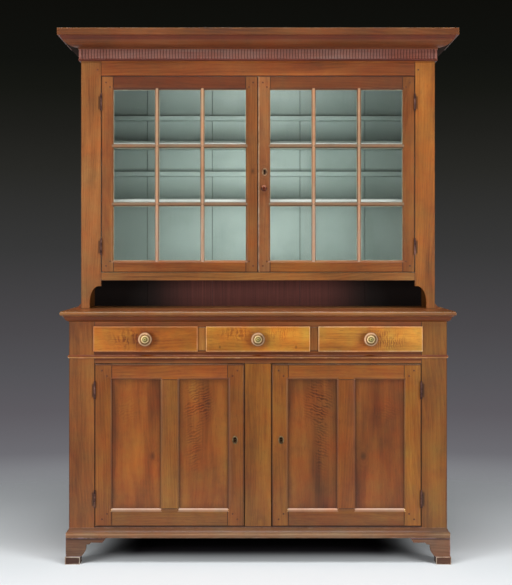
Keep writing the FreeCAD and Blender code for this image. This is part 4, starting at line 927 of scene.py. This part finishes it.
# Old polish has turned the frieze purple. Painted shade darkens the flutes between the reeds and, in a band,
# the bead below them.
reed_walnut = wood("purple walnut of the frieze", "4d2a21", "845347", "8d6f64", "77574e", coat=0.2,
                   wear=0.0, joint=0.0, hollow=(1.0, 2.8, 0.5), shade="1a0808", ledge=0.1, gleam=0.1,
                   bands=REED_SHADE_BANDS)
print("bands on the moldings:", len(MOLDING_LIGHT_BANDS))

# %% [markdown]
# The best wood is kept for what faces the room: panels and drawer fronts are cut where the fibres ripple.
# The counter is as red as the rails. Painted light brightens its top toward the wall, where the upper case
# shades it, and bands of painted highlight and shade run along its edge. Its edge and the pads under the feet
# are scuffed.

# %% Figured and rubbed walnut
COUNTER_EDGE_LIGHT_BANDS = ((Z, 1026.5, 1032, 0.7, (0.72, 0.78, 0.62)), (Z, 1018.5, 1022.5, 1, (1.2, 1.45, 1.5)),
                      (Z, 1005, 1016, 1, (0.85, 0.85, 0.7)))
COUNTER_LIGHT_BANDS = ((Y, -ALL, -55, 20, (0.6, 0.72, 1.0)), (Y, -55, 40, 20, (0.76, 0.95, 1.4)),
                 (Y, 40, ALL, 20, (1.9, 3.4, 4.8)))

# Panels show long flames in the right one of each pair, and darker edges, which are dirt together with
# painted shade from the frame.
panel_walnut = wood("figured walnut of the panels", "472007", "703c12", "88521c", WALNUT_WEAR_AND_HIGHLIGHT,
                    clouds=0.7, streaks=0.12, rings=0.06, edge_dirt=0.25, knot=(430, 436, 9),
                    flames=((247, 650, 82, 128, 0.22), (262, 490, 44, 160, 0.15),
                            (535, 626, 60, 75, 0.06)), mottle=1.5)
# Drawer fronts are the lightest wood, dark only where they are handled; the faces of their lips that look
# up get a painted highlight.
drawer_walnut = wood("figured walnut of the drawers", "69360a", "945917", "af7422", "dc9a5c",
                     clouds=0.75, streaks=0.26, rings=0.06, pores=0.6, smudge=0.5, knot=(155, 883, 4),
                     flames=((520, 916, 120, 60, 0.22), (90, 940, 90, 40, 0.22)), wear=0.9, joint=0.0,
                     reach=(3.0, 4.5), ledge=0.7, mottle=1.6)
# The counter's nosing is rubbed by every passer-by, and bands of painted highlight and shade run along it.
counter_edge = wood("walnut of the counter's edge", "4b280d", "73431e", "8f5b2c", "d8ac80", wear=0.15,
                    joint=0.0, ledge=0.1, bands=COUNTER_EDGE_LIGHT_BANDS)
# The counter itself is a wide polished board, painted darker at the front and lighter toward the wall,
# where the upper case shades it.
counter_walnut = wood("walnut of the counter", "753a16", "bd6730", "f08d45", "d0a070",
                      wear=0.25, joint=0.0, ledge=0.25, bands=COUNTER_LIGHT_BANDS)
# A proud bead loses its polish first; its light walnut is also a painted highlight along the door's edge.
bead_highlight_walnut = wood("light walnut of a rubbed and lit bead", "603617", "7f4f2c", "996b44", "ac815c", wear=0.6,
                  joint=0.0)
# Pads stand in the wash water of the floor and go grey.
pad_walnut = wood("scuffed walnut of the pads", "24140e", "40281e", "543a2c", "b8a490", wear=0.9,
                  joint=0.0, reach=(2.0, 5.0), coat=0.1)
print("materials so far:", len(bpy.data.materials))

# %% [markdown]
# ## Plainer woods
#
# Where nobody looks, a joiner saved walnut: poplar and pine, sawn or hand-planed and left bare, which age to
# a dry greyish tan. Without polish there is no coat and little gloss.

# %% Bare boards
UNDERSIDE = box_mm("base_shelves")[0][Z] + 4

# Bare poplar, planed by hand: dry, tan, with open rings and much grime. Near the base's underside it
# goes near-black, as painted shade.
bare_poplar = wood("bare old poplar", "6e5236", "97774f", "b4956b", "b4956b", rough=0.75, coat=0.0,
                   rings=0.22, grime=0.7, pores=0.2, shade="33241a", under=UNDERSIDE)
# The top of the upper case has never been polished and lies under dust.
dark_underside = wood("dusty unpolished walnut", "3a2416", "5c3c26", "785238", "785238", rough=0.7,
                      coat=0.0, grime=0.7)
print("bare below", round(UNDERSIDE, 1), "mm")

# %% [markdown]
# Inside the glazed case the boards have old milk paint, a grey green that is dead flat, thin on the edges
# and brushed along the boards. Painted shade darkens it toward the ends and the top of the case, and a
# painted shadow lies above every shelf and rail. Below the case's floor the painter stopped, and the back
# boards are bare and dark, with painted shade toward both ends.

# %% Milk paint
SHADE_ASIDE, SHADE_UP = (0.15, 0.36, 0, 0.29), (1.35, 1.95, 0.56, 1.12)
SEAM_REACH = (0.6, 2.2)
BARE_DARK, BARE_LIGHT, BARE_CORNER_SHADE = "3c1e1a", "5c312a", "0b0604"


def milk_paint(name, coat_code, thin_code, below=None, shadow_lines=(), seam=0.0):
    """Flat paint over boards. Below a height the boards are bare. A painted shadow line has a level, a reach
    and a share.
    """
    material, tree = new_finish(name)
    log = put(tree, "Attribute", attribute_name="grain").outputs["Vector"]
    tone = put(tree, "Attribute", attribute_name="tone").outputs["Fac"]
    here = put(tree, "TexCoord").outputs["Object"]
    brush = put(tree, "VectorMath", log, (6, 420, 420), operation="MULTIPLY")
    brush = put(tree, "TexNoise", {"Vector": brush, "Scale": 1, "Detail": 3})
    patch = put(tree, "TexNoise", {"Vector": here, "Scale": 7, "Detail": 4})
    thick = put(tree, "Math", patch, 0.6, 0.2, operation="MULTIPLY_ADD")
    thick = put(tree, "Math", brush, 0.3, thick, operation="MULTIPLY_ADD")
    thick = put(tree, "Math", tone, 0.12, thick, operation="MULTIPLY_ADD")
    skin = shaded(put(tree, "ValToRGB", thick), (0.35, thin_code), (0.65, coat_code))
    spot = put(tree, "SeparateXYZ", here).outputs
    aside = put(tree, "Math", spot[X], operation="ABSOLUTE")
    # Painted shade, deeper toward the ends of the case and toward its top.
    painted_shade = put(tree, "Math", put(tree, "MapRange", aside, *SHADE_ASIDE, **SOFT),
                put(tree, "MapRange", spot[Z], *SHADE_UP, **SOFT), operation="MULTIPLY")
    skin = put(tree, "Mix", {0: painted_shade, 6: skin, 7: "3a4d48"}, **RGBA)
    if seam:
        edge = put(tree, "MapRange", arris_distance(tree), *(reach * MM for reach in SEAM_REACH), seam, 0,
                   **SOFT)
        skin = put(tree, "Mix", {0: edge, 6: skin, 7: "1c241c"}, **RGBA)
    # Painted shadow above each shelf and rail, fading upward.
    for level, reach, share in shadow_lines:
        line = put(tree, "MapRange", spot[Z], level * MM, (level + reach) * MM, share, 0)
        above = put(tree, "Math", spot[Z], level * MM, operation="GREATER_THAN")
        line = put(tree, "Math", line, above, operation="MULTIPLY")
        skin = put(tree, "Mix", {0: line, 6: skin, 7: "30382f"}, **RGBA)
    if below is not None:
        fibre = put(tree, "VectorMath", log, (3, 200, 200), operation="MULTIPLY")
        fibre = put(tree, "TexNoise", {"Vector": fibre, "Scale": 1, "Detail": 4})
        bare = shaded(put(tree, "ValToRGB", fibre), (0.2, BARE_DARK), (0.8, BARE_LIGHT))
        # Painted shade toward both ends of the bare boards.
        corner = put(tree, "MapRange", aside, 0.22, 0.52, 0, 0.96, **SOFT)
        bare = put(tree, "Mix", {0: corner, 6: bare, 7: BARE_CORNER_SHADE}, **RGBA)
        unpainted = put(tree, "Math", spot[Z], below * MM, operation="LESS_THAN")
        skin = put(tree, "Mix", {0: unpainted, 6: skin, 7: bare}, **RGBA)
    bump = put(tree, "Bump", {"Strength": 0.5, "Distance": 0.4 * MM, "Height": brush})
    put(tree, "OutputMaterial", put(tree, "BsdfPrincipled", {
        "Base Color": skin, "Roughness": 0.82, "Normal": bump, "Specular IOR Level": 0.25}))
    return material


PAINT, THIN_PAINT = "94a29c", "829089"
# Lime and curd with green earth, brushed on: flat and chalky.
shelf_paint = milk_paint("grey green milk paint", PAINT, THIN_PAINT)
# The same paint on the back boards, open at every seam, with painted shadow above the shelves and rails.
back_paint = milk_paint("milk paint on the back boards", PAINT, THIN_PAINT, below=1175, seam=0.55,
                        shadow_lines=((1876, 90, 0.5), (1876, 14, 0.6), (1629, 20, 0.8), (1746, 110, 0.66),
                              (1499, 100, 0.62)))
# The front edges of the shelves get a paler paint, which is a painted highlight, and painted shade darkens
# parts of each edge.
lit_edge_paint = milk_paint("pale paint with painted light on the shelf edges", "a8aaa7", "959994",
                        shadow_lines=((1740, 40, 0.88), (1496.5, 40, 0.7), (1724, 16, 0.9), (1478, 12, 0.9)))
print("paint", PAINT)

# %% [markdown]
# ## The cases
#
# Every node of the base and of the upper case becomes boards with eased edges. Flush joints are eased least,
# so that they read as a fine line, and the counter most, because hands and dishes wore it.

# %% Dress the two cases
for node, finish, slot, width in (
        ("base_sides", frame_walnut, "finished_wood", 1.2),
        ("base_stiles", frame_walnut, "finished_wood", 0.6),
        ("base_rails", red_walnut, "finished_wood", 0.6),
        ("drawer_dividers", door_walnut, "finished_wood", 0.6),
        ("base_molding", molding_walnut, "finished_wood", 0.8),
        ("waist_bead", molding_walnut, "finished_wood", 0.5),
        ("counter_molding", molding_walnut, "finished_wood", 0.5),
        ("countertop", [counter_walnut, counter_edge], "finished_wood", 1.2),
        ("seat_molding", molding_walnut, "finished_wood", 0.8),
        ("bracket_feet", molding_walnut, "finished_wood", 1.0),
        ("foot_pads", pad_walnut, "finished_wood", 1.5),
        ("base_shelves", bare_poplar, "secondary_wood", 0.8),
        ("base_backboards", bare_poplar, "secondary_wood", 0.8),
        ("drawer_runners", bare_poplar, "secondary_wood", 0.6),
        ("upper_sides", frame_walnut, "finished_wood", 1.0),
        ("upper_stiles", stile_walnut, "finished_wood", 0.8),
        ("upper_rails", red_walnut, "finished_wood", 0.6),
        ("upper_bottom_board", shelf_paint, "painted_wood", 0.8),
        ("upper_top_board", dark_underside, "secondary_wood", 0.8),
        ("upper_shelves", [shelf_paint, lit_edge_paint], "painted_wood", 1.2),
        ("upper_backboards", [back_paint, bare_poplar], "painted_wood", 1.0),
        ("fluted_frieze", [reed_walnut, return_shade_walnut], "finished_wood", 0),
        ("crown_molding", [cornice_walnut, fascia_walnut, return_shade_walnut], "finished_wood", 0.8)):
    dress(node, "case", finish, width)
print("dressed:", len(dressed), "nodes of the cases")

# %% [markdown]
# Some boards have more than one finish: a painted shelf has paler paint on its front edge, which is a
# painted highlight, the back boards are bare outside, and the cornice's returns are near-black, as painted
# shade. A face takes its finish from the way it looks and the place where it lies.

# %% Finish by face
FASCIA_FROM, RETURN_FROM = 2178, 745
SHELF_FRONT = box_mm("upper_shelves")[0][Y]
SHELF_EDGE = 2


def finish_by_face(node, choose):
    """Let a function of a face's normal and of its middle, in millimetres, choose the finish."""
    for face in dressed[node].data.polygons:
        face.material_index = int(choose(face.normal, face.center / MM))


finish_by_face("crown_molding",
               lambda way, spot: 1 if spot.z > FASCIA_FROM else 2 * (abs(way.x) > abs(way.y)))
finish_by_face("fluted_frieze", lambda way, spot: abs(way.x) > abs(way.y) and abs(spot.x) > RETURN_FROM)
finish_by_face("countertop", lambda way, spot: way.z < 0.9)
finish_by_face("upper_backboards", lambda way, spot: way.y > 0.5)
finish_by_face("upper_shelves", lambda way, spot: way.y < -0.3 and spot.y < SHELF_FRONT + SHELF_EDGE)
print("shelf edges at", round(SHELF_FRONT, 1), "mm")

# %% [markdown]
# ## Doors and drawers
#
# Doors get the same care: stiles and rails are separate boards, the panels have their own figure, and the
# glazing bars are eased so finely that they stay crisp. A bar is deeper than it is wide, so its depth is
# named, and the crest follows its front.

# %% Dress the doors
for side in ("left", "right"):
    for level_name, leaf in (("upper", glazed_walnut), ("lower", door_walnut)):
        door = f"{level_name}_{side}_door"
        dress(door + "_stiles", door, leaf, 0.7)
        dress(door + "_rails", door, leaf, 0.7)
    dress(f"upper_{side}_door_glazing_bars", f"upper_{side}_door", bar_walnut, 0.5,
          through=Y)
    dress(f"lower_{side}_door_panels", f"lower_{side}_door", panel_walnut, 0)
print("dressed:", len(dressed), "nodes with the doors")

# %% [markdown]
# A drawer is walnut only in front. Its box is poplar, which slides well, wears evenly and is never seen
# until the drawer is pulled out.

# %% Dress the drawers
for place in ("left", "center", "right"):
    drawer = f"drawer_{place}"
    dress(drawer + "_front", drawer, drawer_walnut, 0.6)
    dress(drawer + "_box", drawer, bare_poplar, 0.5)
print("dressed:", len(dressed), "nodes with the drawers")

# %% [markdown]
# ## Glass
#
# Old window glass was blown and flattened, so its face is never quite flat and straight lines swim behind
# it. The pane is a thin clear sheet with a slow wave in its normal. Light passes straight through it to the
# shelves, which a real sheet does nearly as well, and which keeps the render free of grain.

# %% Old window glass
WAVES_PER_METRE = (11, 11, 4)

# Blown soda-lime glass: clear, smooth, and a little wavy.
glass, tree = new_finish("old window glass")
here = put(tree, "TexCoord").outputs["Object"]
swim = put(tree, "VectorMath", here, WAVES_PER_METRE, operation="MULTIPLY")
swim = put(tree, "TexNoise", {"Vector": swim, "Scale": 1, "Detail": 1})
bump = put(tree, "Bump", {"Strength": 0.08, "Distance": 1 * MM, "Height": swim})
sheet = put(tree, "BsdfPrincipled", {"Base Color": "fafcfb", "Roughness": 0.02, "IOR": 1.46,
                                     "Transmission Weight": 1.0, "Normal": bump})
through = put(tree, "BsdfTransparent", "fbfcfb")
shadow = put(tree, "LightPath").outputs["Is Shadow Ray"]
put(tree, "OutputMaterial", put(tree, "MixShader", shadow, sheet, through))
glazed = [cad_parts[f"upper_{side}_door_panes"] for side in ("left", "right")]
for panes in glazed:
    panes.data.materials.clear()
    panes.data.materials.append(glass)
print("glass on", len(glazed), "nodes of panes")

# %% [markdown]
# ## Metal
#
# The hinges are wrought iron, brown with age. The locks are iron inside and brass outside, and the oval
# plates keep old polish in the middle. One recipe serves them all: bright where cleaning reaches, dull where
# it doesn't.

# %% Brass and iron
TARNISH_PER_METRE = 60
PLATE_DIRT = "3a2416"


def plate_oval(node):
    """The middle and the two radii of a lock's oval plate, which is the foremost solid of its node."""
    low, high = min(solid_boxes(node), key=lambda box: box[0][Y])
    return (low[X] + high[X]) / 2, (low[Z] + high[Z]) / 2, (high[X] - low[X]) / 2, (high[Z] - low[Z]) / 2


def metal(name, bright, dull, rough, bump_height=0.15, oval=None, inner_dirt=0.8):
    """A worn metal: bright where it is rubbed, dull where it isn't, dirty in the middle of an oval."""
    material, tree = new_finish(name)
    here = put(tree, "TexCoord").outputs["Object"]
    patch = put(tree, "TexNoise", {"Vector": here, "Scale": TARNISH_PER_METRE, "Detail": 5,
                                   "Roughness": 0.65})
    share = put(tree, "MapRange", patch, 0.375, 0.625, 0, 1)
    skin = shaded(put(tree, "ValToRGB", share), (0, dull), (1, bright))
    if oval:
        dirt = put(tree, "MapRange", spot_distance(tree, here, *oval), 0.68, 0.84, inner_dirt, 0, **SOFT)
        skin = put(tree, "Mix", {0: dirt, 6: skin, 7: PLATE_DIRT}, **RGBA)
    gloss = put(tree, "MapRange", share, 0, 1, rough + 0.2, rough)
    bump = put(tree, "Bump", {"Strength": 0.4, "Distance": bump_height * MM, "Height": patch})
    put(tree, "OutputMaterial", put(tree, "BsdfPrincipled", {
        "Base Color": skin, "Roughness": gloss, "Metallic": 1.0, "Normal": bump}))
    return material


# Cast brass, tarnished to a pale pinkish tan.
pale_brass = metal("pale tarnished brass", "a08468", "705844", 0.45, oval=plate_oval("upper_lock"),
                   inner_dirt=0.6)
# The lower plates are cleaned less, and darker.
dark_brass = metal("dark tarnished brass", "8c7c5c", "504430", 0.5, oval=plate_oval("lower_right_door_lock"))
# Wrought iron, rubbed with oil: brown, uneven from the hammer.
black_iron = metal("brown wrought iron", "6a4d45", "352423", 0.5, bump_height=0.3)
# Near-black iron that stands for the shade inside a lock.
lock_shade_iron = metal("dark iron inside a lock", "1c1816", "0e0c0b", 0.6)
print("metals:", pale_brass.name, dark_brass.name, black_iron.name, lock_shade_iron.name, sep=", ")

# %% [markdown]
# The drawers' round knobs are turned brass with a ring, a hollow and a button. Their colour goes by the
# distance from the knob's middle: bright ridges and dark hollows are polish and tarnish together with
# painted highlight and painted shade, and a painted highlight grows toward the upper left. The small knob of
# the glazed door is turned walnut, nearly black from hands.

# %% Finish of the knobs
RIM = (KNOB_HIGH[Z] - KNOB_LOW[Z]) / 2
ZONES = ((0, "5c5c30"), (0.1, "847c48"), (0.2, "c8bc88"), (0.3, "5c5428"), (0.38, "a89468"), (0.48, "dcc49c"),
         (0.56, "a88c60"), (0.64, "5c4228"), (0.74, "98785c"), (0.88, "b89474"), (1, "5c3c24"))

# Turned brass, yellow on its ridges and brown in its hollows, in rings of tarnish and painted light together.
knob_brass, tree = new_finish("turned brass, bright on its ridges")
here = put(tree, "TexCoord").outputs["Object"]
aside = from_knob(tree, here)
raised = put(tree, "Math", put(tree, "SeparateXYZ", here).outputs[Z], KNOB_LEVEL * MM, operation="SUBTRACT")
arm = put(tree, "VectorMath", put(tree, "CombineXYZ", aside, raised), operation="LENGTH").outputs["Value"]
arm = put(tree, "Math", arm, RIM * MM, operation="DIVIDE")
patch = put(tree, "TexNoise", {"Vector": here, "Scale": 90, "Detail": 4})
arm = put(tree, "Math", patch, 0.08, arm, operation="MULTIPLY_ADD")
arm = put(tree, "Math", arm, 0.04, operation="SUBTRACT")
skin = shaded(put(tree, "ValToRGB", arm), *ZONES)
# Painted highlight, brighter toward the upper left of each knob.
upper_left_highlight = put(tree, "Math", raised, aside, operation="SUBTRACT")
upper_left_highlight = put(tree, "MapRange", upper_left_highlight, -0.5 * RIM * MM, 0.8 * RIM * MM, 0.85, 1.5, **SOFT)
skin = put(tree, "VectorMath", skin, upper_left_highlight, operation="MULTIPLY")
gloss = put(tree, "MapRange", patch, 0.3, 0.7, 0.62, 0.48)
put(tree, "OutputMaterial", put(tree, "BsdfPrincipled", {
    "Base Color": skin, "Roughness": gloss, "Metallic": 1.0}))
# Walnut turned on a lathe and polished by hands: smooth, dark and glossy.
turned_knob_wood = wood("dark turned walnut", "2c1109", "512516", "6a3822", "b07050", rough=0.28,
                        coat=0.8, wear=0.0, joint=0.0)
print("knob rim:", round(RIM, 1), "mm")

# %% [markdown]
# Metal parts come from the frame with their real shape, and they are merged and shaded like the boards. Only
# bolts and the turn button are eased, because they were filed and cut by hand.

# %% Dress hinges, locks and knobs
for node, body, slot, finish, width in (
        ("case_hinge_leaves", "case", "iron", black_iron, 0),
        ("hinge_pins", "case", "iron", black_iron, 0),
        ("upper_lock", "upper_right_door", "brass", pale_brass, 0),
        ("upper_lock_bolt", "upper_bolt", "iron", black_iron, 0.4),
        ("latch_knob", "upper_latch", "turned_wood", turned_knob_wood, 0),
        ("latch_button", "upper_latch", "turned_wood", turned_knob_wood, 1)):
    dress(node, body, finish, width)
for side in ("left", "right"):
    for level_name in ("upper", "lower"):
        door = f"{level_name}_{side}_door"
        dress(door + "_hinge_leaves", door, black_iron, 0)
    dress(f"lower_{side}_door_lock", f"lower_{side}_door", dark_brass, 0)
    dress(f"lower_{side}_lock_bolt", f"lower_{side}_bolt", black_iron, 0.4)
for place in ("left", "center", "right"):
    dress(f"drawer_{place}_knob", f"drawer_{place}", knob_brass, 0)
print("dressed:", len(dressed), "nodes in all")

# %% [markdown]
# ## Small parts that a drawing leaves out
#
# A joiner closes gaps with strips, beds every pane in putty and locks each tenon with pegs. Strips are cut
# from a block and eased. Round parts are turned: a circle is pulled out step by step, as a gouge cuts it.

# %% Strips and turned parts


def slab(name, low, high, rounded, steps=2):
    """A strip between two corners, in millimetres, with rounded edges."""
    deselect()
    bpy.ops.mesh.primitive_cube_add(size=1)
    piece = bpy.context.object
    piece.name = name
    bpy.ops.object.mode_set(mode="EDIT")
    bpy.ops.transform.resize(value=[(b - a) * MM for a, b in zip(low, high)])
    bpy.ops.transform.translate(value=[(a + b) / 2 * MM for a, b in zip(low, high)])
    bpy.ops.mesh.bevel(offset=rounded * MM, segments=steps, affect="EDGES")
    bpy.ops.object.mode_set(mode="OBJECT")
    return piece


def turned(name, place, section, sides):
    """A round part that looks at the viewer. The section lists radius and depth, from its back."""
    deselect()
    radius, depth = section[0]
    bpy.ops.mesh.primitive_circle_add(vertices=sides, radius=radius * MM, fill_type="NGON")
    piece = bpy.context.object
    piece.name = name
    bpy.ops.object.mode_set(mode="EDIT")
    bpy.ops.transform.rotate(value=math.radians(90), orient_axis="X", center_override=(0, 0, 0))
    bpy.ops.transform.translate(value=(place[X] * MM, (place[Y] + depth) * MM, place[Z] * MM))
    for next_radius, next_depth in section[1:]:
        bpy.ops.mesh.extrude_region_move(
            TRANSFORM_OT_translate={"value": (0, (next_depth - depth) * MM, 0)})
        scale = next_radius / radius
        bpy.ops.transform.resize(value=(scale, 1, scale))
        radius, depth = next_radius, next_depth
    bpy.ops.mesh.select_all(action="SELECT")
    bpy.ops.mesh.normals_make_consistent(inside=False)
    bpy.ops.object.mode_set(mode="OBJECT")
    return piece


def finished(pieces, name, body, finish, spread=1.0):
    """Join pieces into one, give them grain and finish, and let them ride on a body."""
    whole = pieces[0]
    on_bench(whole)
    for piece in pieces:
        piece.select_set(True)
    if len(pieces) > 1:
        bpy.ops.object.join()
    whole.name = name
    on_bench(whole)
    bpy.ops.object.shade_smooth_by_angle(angle=SMOOTH_ANGLE)
    lay_grain(whole, name, spread)
    whole.data.materials.clear()
    whole.data.materials.append(finish)
    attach(whole, body)


print("helpers for strips and turned parts")

# %% [markdown]
# Two glazed doors meet in the middle. A thin tongue behind the joint keeps dust out, a rounded bead hides
# the gap in front, and a stop behind the doors takes their push. Tongue and stop are near-black, as painted
# shade, so that the gaps in front of them read dark, and the bead's light walnut is a painted highlight. All
# three are plain strips.

# %% Tongue, bead and stop of the glazed doors
DOOR_LOW, DOOR_HIGH = box_mm("upper_right_door_stiles")
FACE, BACK, MEETING = DOOR_LOW[Y], DOOR_HIGH[Y], DOOR_LOW[X]
STOP_HALF, STOP_LOW, STOP_HIGH = 655, 1184.1, 1194

# Near-black walnut: painted shade behind the gaps.
gap_shade_walnut = wood("near-black walnut as shade behind the gaps", "1a0a06", "2c140c", "3c1e12", "4c2a1a", coat=0.1, joint=0.0,
                  ledge=0.1)
tongue = slab("tongue", (-MEETING - 5, FACE + 11, DOOR_LOW[Z] + 1), (0.9, FACE + 19, DOOR_HIGH[Z] - 1), 0.4)
finished([tongue], "meeting_tongue", "upper_left_door", gap_shade_walnut)
bead = slab("bead", (MEETING + 0.6, FACE - 1.3, DOOR_LOW[Z] + 0.5),
            (MEETING + 4.6, FACE + 1.5, DOOR_HIGH[Z] - 0.5), 1.2, 3)
finished([bead], "meeting_bead", "upper_right_door", bead_highlight_walnut)
stop = slab("stop", (-STOP_HALF, BACK + 0.4, STOP_LOW), (STOP_HALF, BACK + 8, STOP_HIGH), 1)
finished([stop], "door_stop", "case", gap_shade_walnut)
print("doors meet at", round(MEETING, 2), "mm")

# %% [markdown]
# A keyhole is dark because the lock's works stand behind it in shade. A small near-black block of iron
# stands in for them, as painted shade, since no more of them is ever seen.

# %% Works behind the keyholes
WORKS_HALF, WORKS_TALL, WORKS_BACK = 7, 13, (9, 15)

locks = (("upper_lock", "upper_right_door"), ("lower_left_door_lock", "lower_left_door"),
         ("lower_right_door_lock", "lower_right_door"))
for node, body in locks:
    low, high = min(solid_boxes(node), key=lambda box: box[0][Y])
    x, z = (low[X] + high[X]) / 2, (low[Z] + high[Z]) / 2
    works = slab("works", (x - WORKS_HALF, low[Y] + WORKS_BACK[0], z - WORKS_TALL),
                 (x + WORKS_HALF, low[Y] + WORKS_BACK[1], z + WORKS_TALL), 1)
    finished([works], node + "_works", body, lock_shade_iron)
print("lock works:", len(locks))

# %% [markdown]
# Putty holds each pane in its rebate. It is a flat frame behind the glass: a plane with its middle cut out,
# pulled back to a few millimetres and softened, as a knife leaves it.

# %% Putty round the panes
PUTTY_LAP, PUTTY_DEEP, PUTTY_SOFT, PUTTY_GAP = 6.2, 4, 0.6, 0.1

# Chalk and linseed oil: flat, and yellowish with age.
putty = milk_paint("old pale putty", "9b947c", "867f67")


def putty_frame(low, high):
    """A frame of putty behind a pane that lies between two corners, in metres."""
    deselect()
    bpy.ops.mesh.primitive_plane_add(size=1)
    bed = bpy.context.object
    bpy.ops.object.mode_set(mode="EDIT")
    bpy.ops.transform.resize(value=(high[X] - low[X], high[Z] - low[Z], 1))
    bpy.ops.transform.rotate(value=math.radians(90), orient_axis="X", center_override=(0, 0, 0))
    bpy.ops.transform.translate(value=((low[X] + high[X]) / 2, high[Y] + PUTTY_GAP * MM,
                                       (low[Z] + high[Z]) / 2))
    bpy.ops.mesh.inset(thickness=PUTTY_LAP * MM)
    bpy.ops.mesh.delete(type="FACE")
    bpy.ops.mesh.select_all(action="SELECT")
    bpy.ops.mesh.extrude_region_move(TRANSFORM_OT_translate={"value": (0, PUTTY_DEEP * MM, 0)})
    bpy.ops.mesh.select_all(action="SELECT")
    bpy.ops.mesh.normals_make_consistent(inside=False)
    bpy.ops.mesh.bevel(offset=PUTTY_SOFT * MM, segments=1, affect="EDGES")
    bpy.ops.object.mode_set(mode="OBJECT")
    return bed


bedded = 0
for side in ("left", "right"):
    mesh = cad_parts[f"upper_{side}_door_panes"].data
    numbers, count = board_numbers(mesh)
    beds = []
    for number in range(count):
        members = [i for face, of in zip(mesh.polygons, numbers) if of == number for i in face.vertices]
        beds.append(putty_frame(*corners([mesh.vertices[i].co for i in members])))
    bedded += len(beds)
    finished(beds, f"putty_{side}", f"upper_{side}_door", putty, 0.3)
print("panes bedded:", bedded)

# %% [markdown]
# A tenon is locked by wooden pegs that are driven through it and cut off nearly flush. Their end grain
# drinks more oil than the board does, so each shows as a dark dot. Each door has two in each corner.

# %% Pegs in the tenons
PEG = ((3.6, 5), (3.8, 0), (3.6, -0.3), (2.6, -0.6), (1, -0.7))
PEG_SPOTS = {"upper": ((19, 26), (36, 45)), "lower": ((28, 27), (48, 49))}
CASE_PEG_ASIDE, CASE_PEG_LEVEL = 679, 2043
PEG_SIDES = 12

# End grain, dark with oil.
peg_walnut = wood("end grain of the pegs", "34180a", "4c2612", "5c3218", "704226", coat=0.3, joint=0.0)
pegs = 0
for level_name, spots in PEG_SPOTS.items():
    for side in ("left", "right"):
        door = f"{level_name}_{side}_door"
        low, high = box_mm(door + "_stiles")
        made = [turned("peg", (x, low[Y], z), PEG, PEG_SIDES) for aside, inward in spots
                for x in (low[X] + aside, high[X] - aside) for z in (low[Z] + inward, high[Z] - inward)]
        pegs += len(made)
        finished(made, "pegs_" + door, door, peg_walnut)
made = [turned("peg", (x, UPPER_FRONT, CASE_PEG_LEVEL), PEG, PEG_SIDES)
        for x in (-CASE_PEG_ASIDE, CASE_PEG_ASIDE)]
finished(made, "pegs_case", "case", peg_walnut)
print("pegs:", pegs + len(made))

# %% [markdown]
# A scratched bead runs along the meeting side and the top of each panelled door. It turns a gap, which is
# never quite even, into a line that looks meant. Each bead is a strip with a round front.

# %% Beads on the panelled doors
BEAD_INSET, BEAD_WIDE, BEAD_PROUD, BEAD_SUNK, BEAD_ROUND = 0.5, 5, 1.4, 1.5, 1.3

# The bead on top lies in the shade of the molding above it.
top_bead_walnut = wood("walnut of a bead in shade", "2f1407", "45230d", "542c14", "603319", joint=0.0,
                       ledge=0.1)
for side, sign in (("left", -1), ("right", 1)):
    low, high = box_mm(f"lower_{side}_door_stiles")
    inner = high[X] if sign < 0 else low[X]
    across = sorted((inner + sign * BEAD_INSET, inner + sign * (BEAD_INSET + BEAD_WIDE)))
    front, back, top = low[Y] - BEAD_PROUD, low[Y] + BEAD_SUNK, high[Z] - BEAD_INSET
    upright = slab("bead", (across[0], front, low[Z] + BEAD_INSET), (across[1], back, top), BEAD_ROUND, 3)
    level = slab("bead", (low[X] + BEAD_INSET, front, top - BEAD_WIDE),
                 (high[X] - BEAD_INSET, back, top), BEAD_ROUND, 3)
    finished([upright], f"door_bead_{side}", f"lower_{side}_door", frame_walnut)
    finished([level], f"door_top_bead_{side}", f"lower_{side}_door", top_bead_walnut)
print("beads", BEAD_WIDE, "mm wide")

# %% [markdown]
# A hinge pin ends in a small ball above its knuckles, so that it can be drawn to lift the door off. Each
# ball is turned in steps from the round top of its pin.

# %% Balls on the hinge pins
BALL = ((1.6, 2.6), (3.4, 1.5), (3.9, 0), (3.4, -1.6), (1.6, -2.9))
BALL_ABOVE, BALL_SIDES = 1.5, 16

balls = []
for low, high in solid_boxes("hinge_pins"):
    place = ((low[X] + high[X]) / 2, (low[Y] + high[Y]) / 2, high[Z] + BALL_ABOVE)
    balls.append(turned("ball", place, BALL, BALL_SIDES))
finished(balls, "hinge_balls", "case", black_iron)
print("hinge balls:", len(balls))
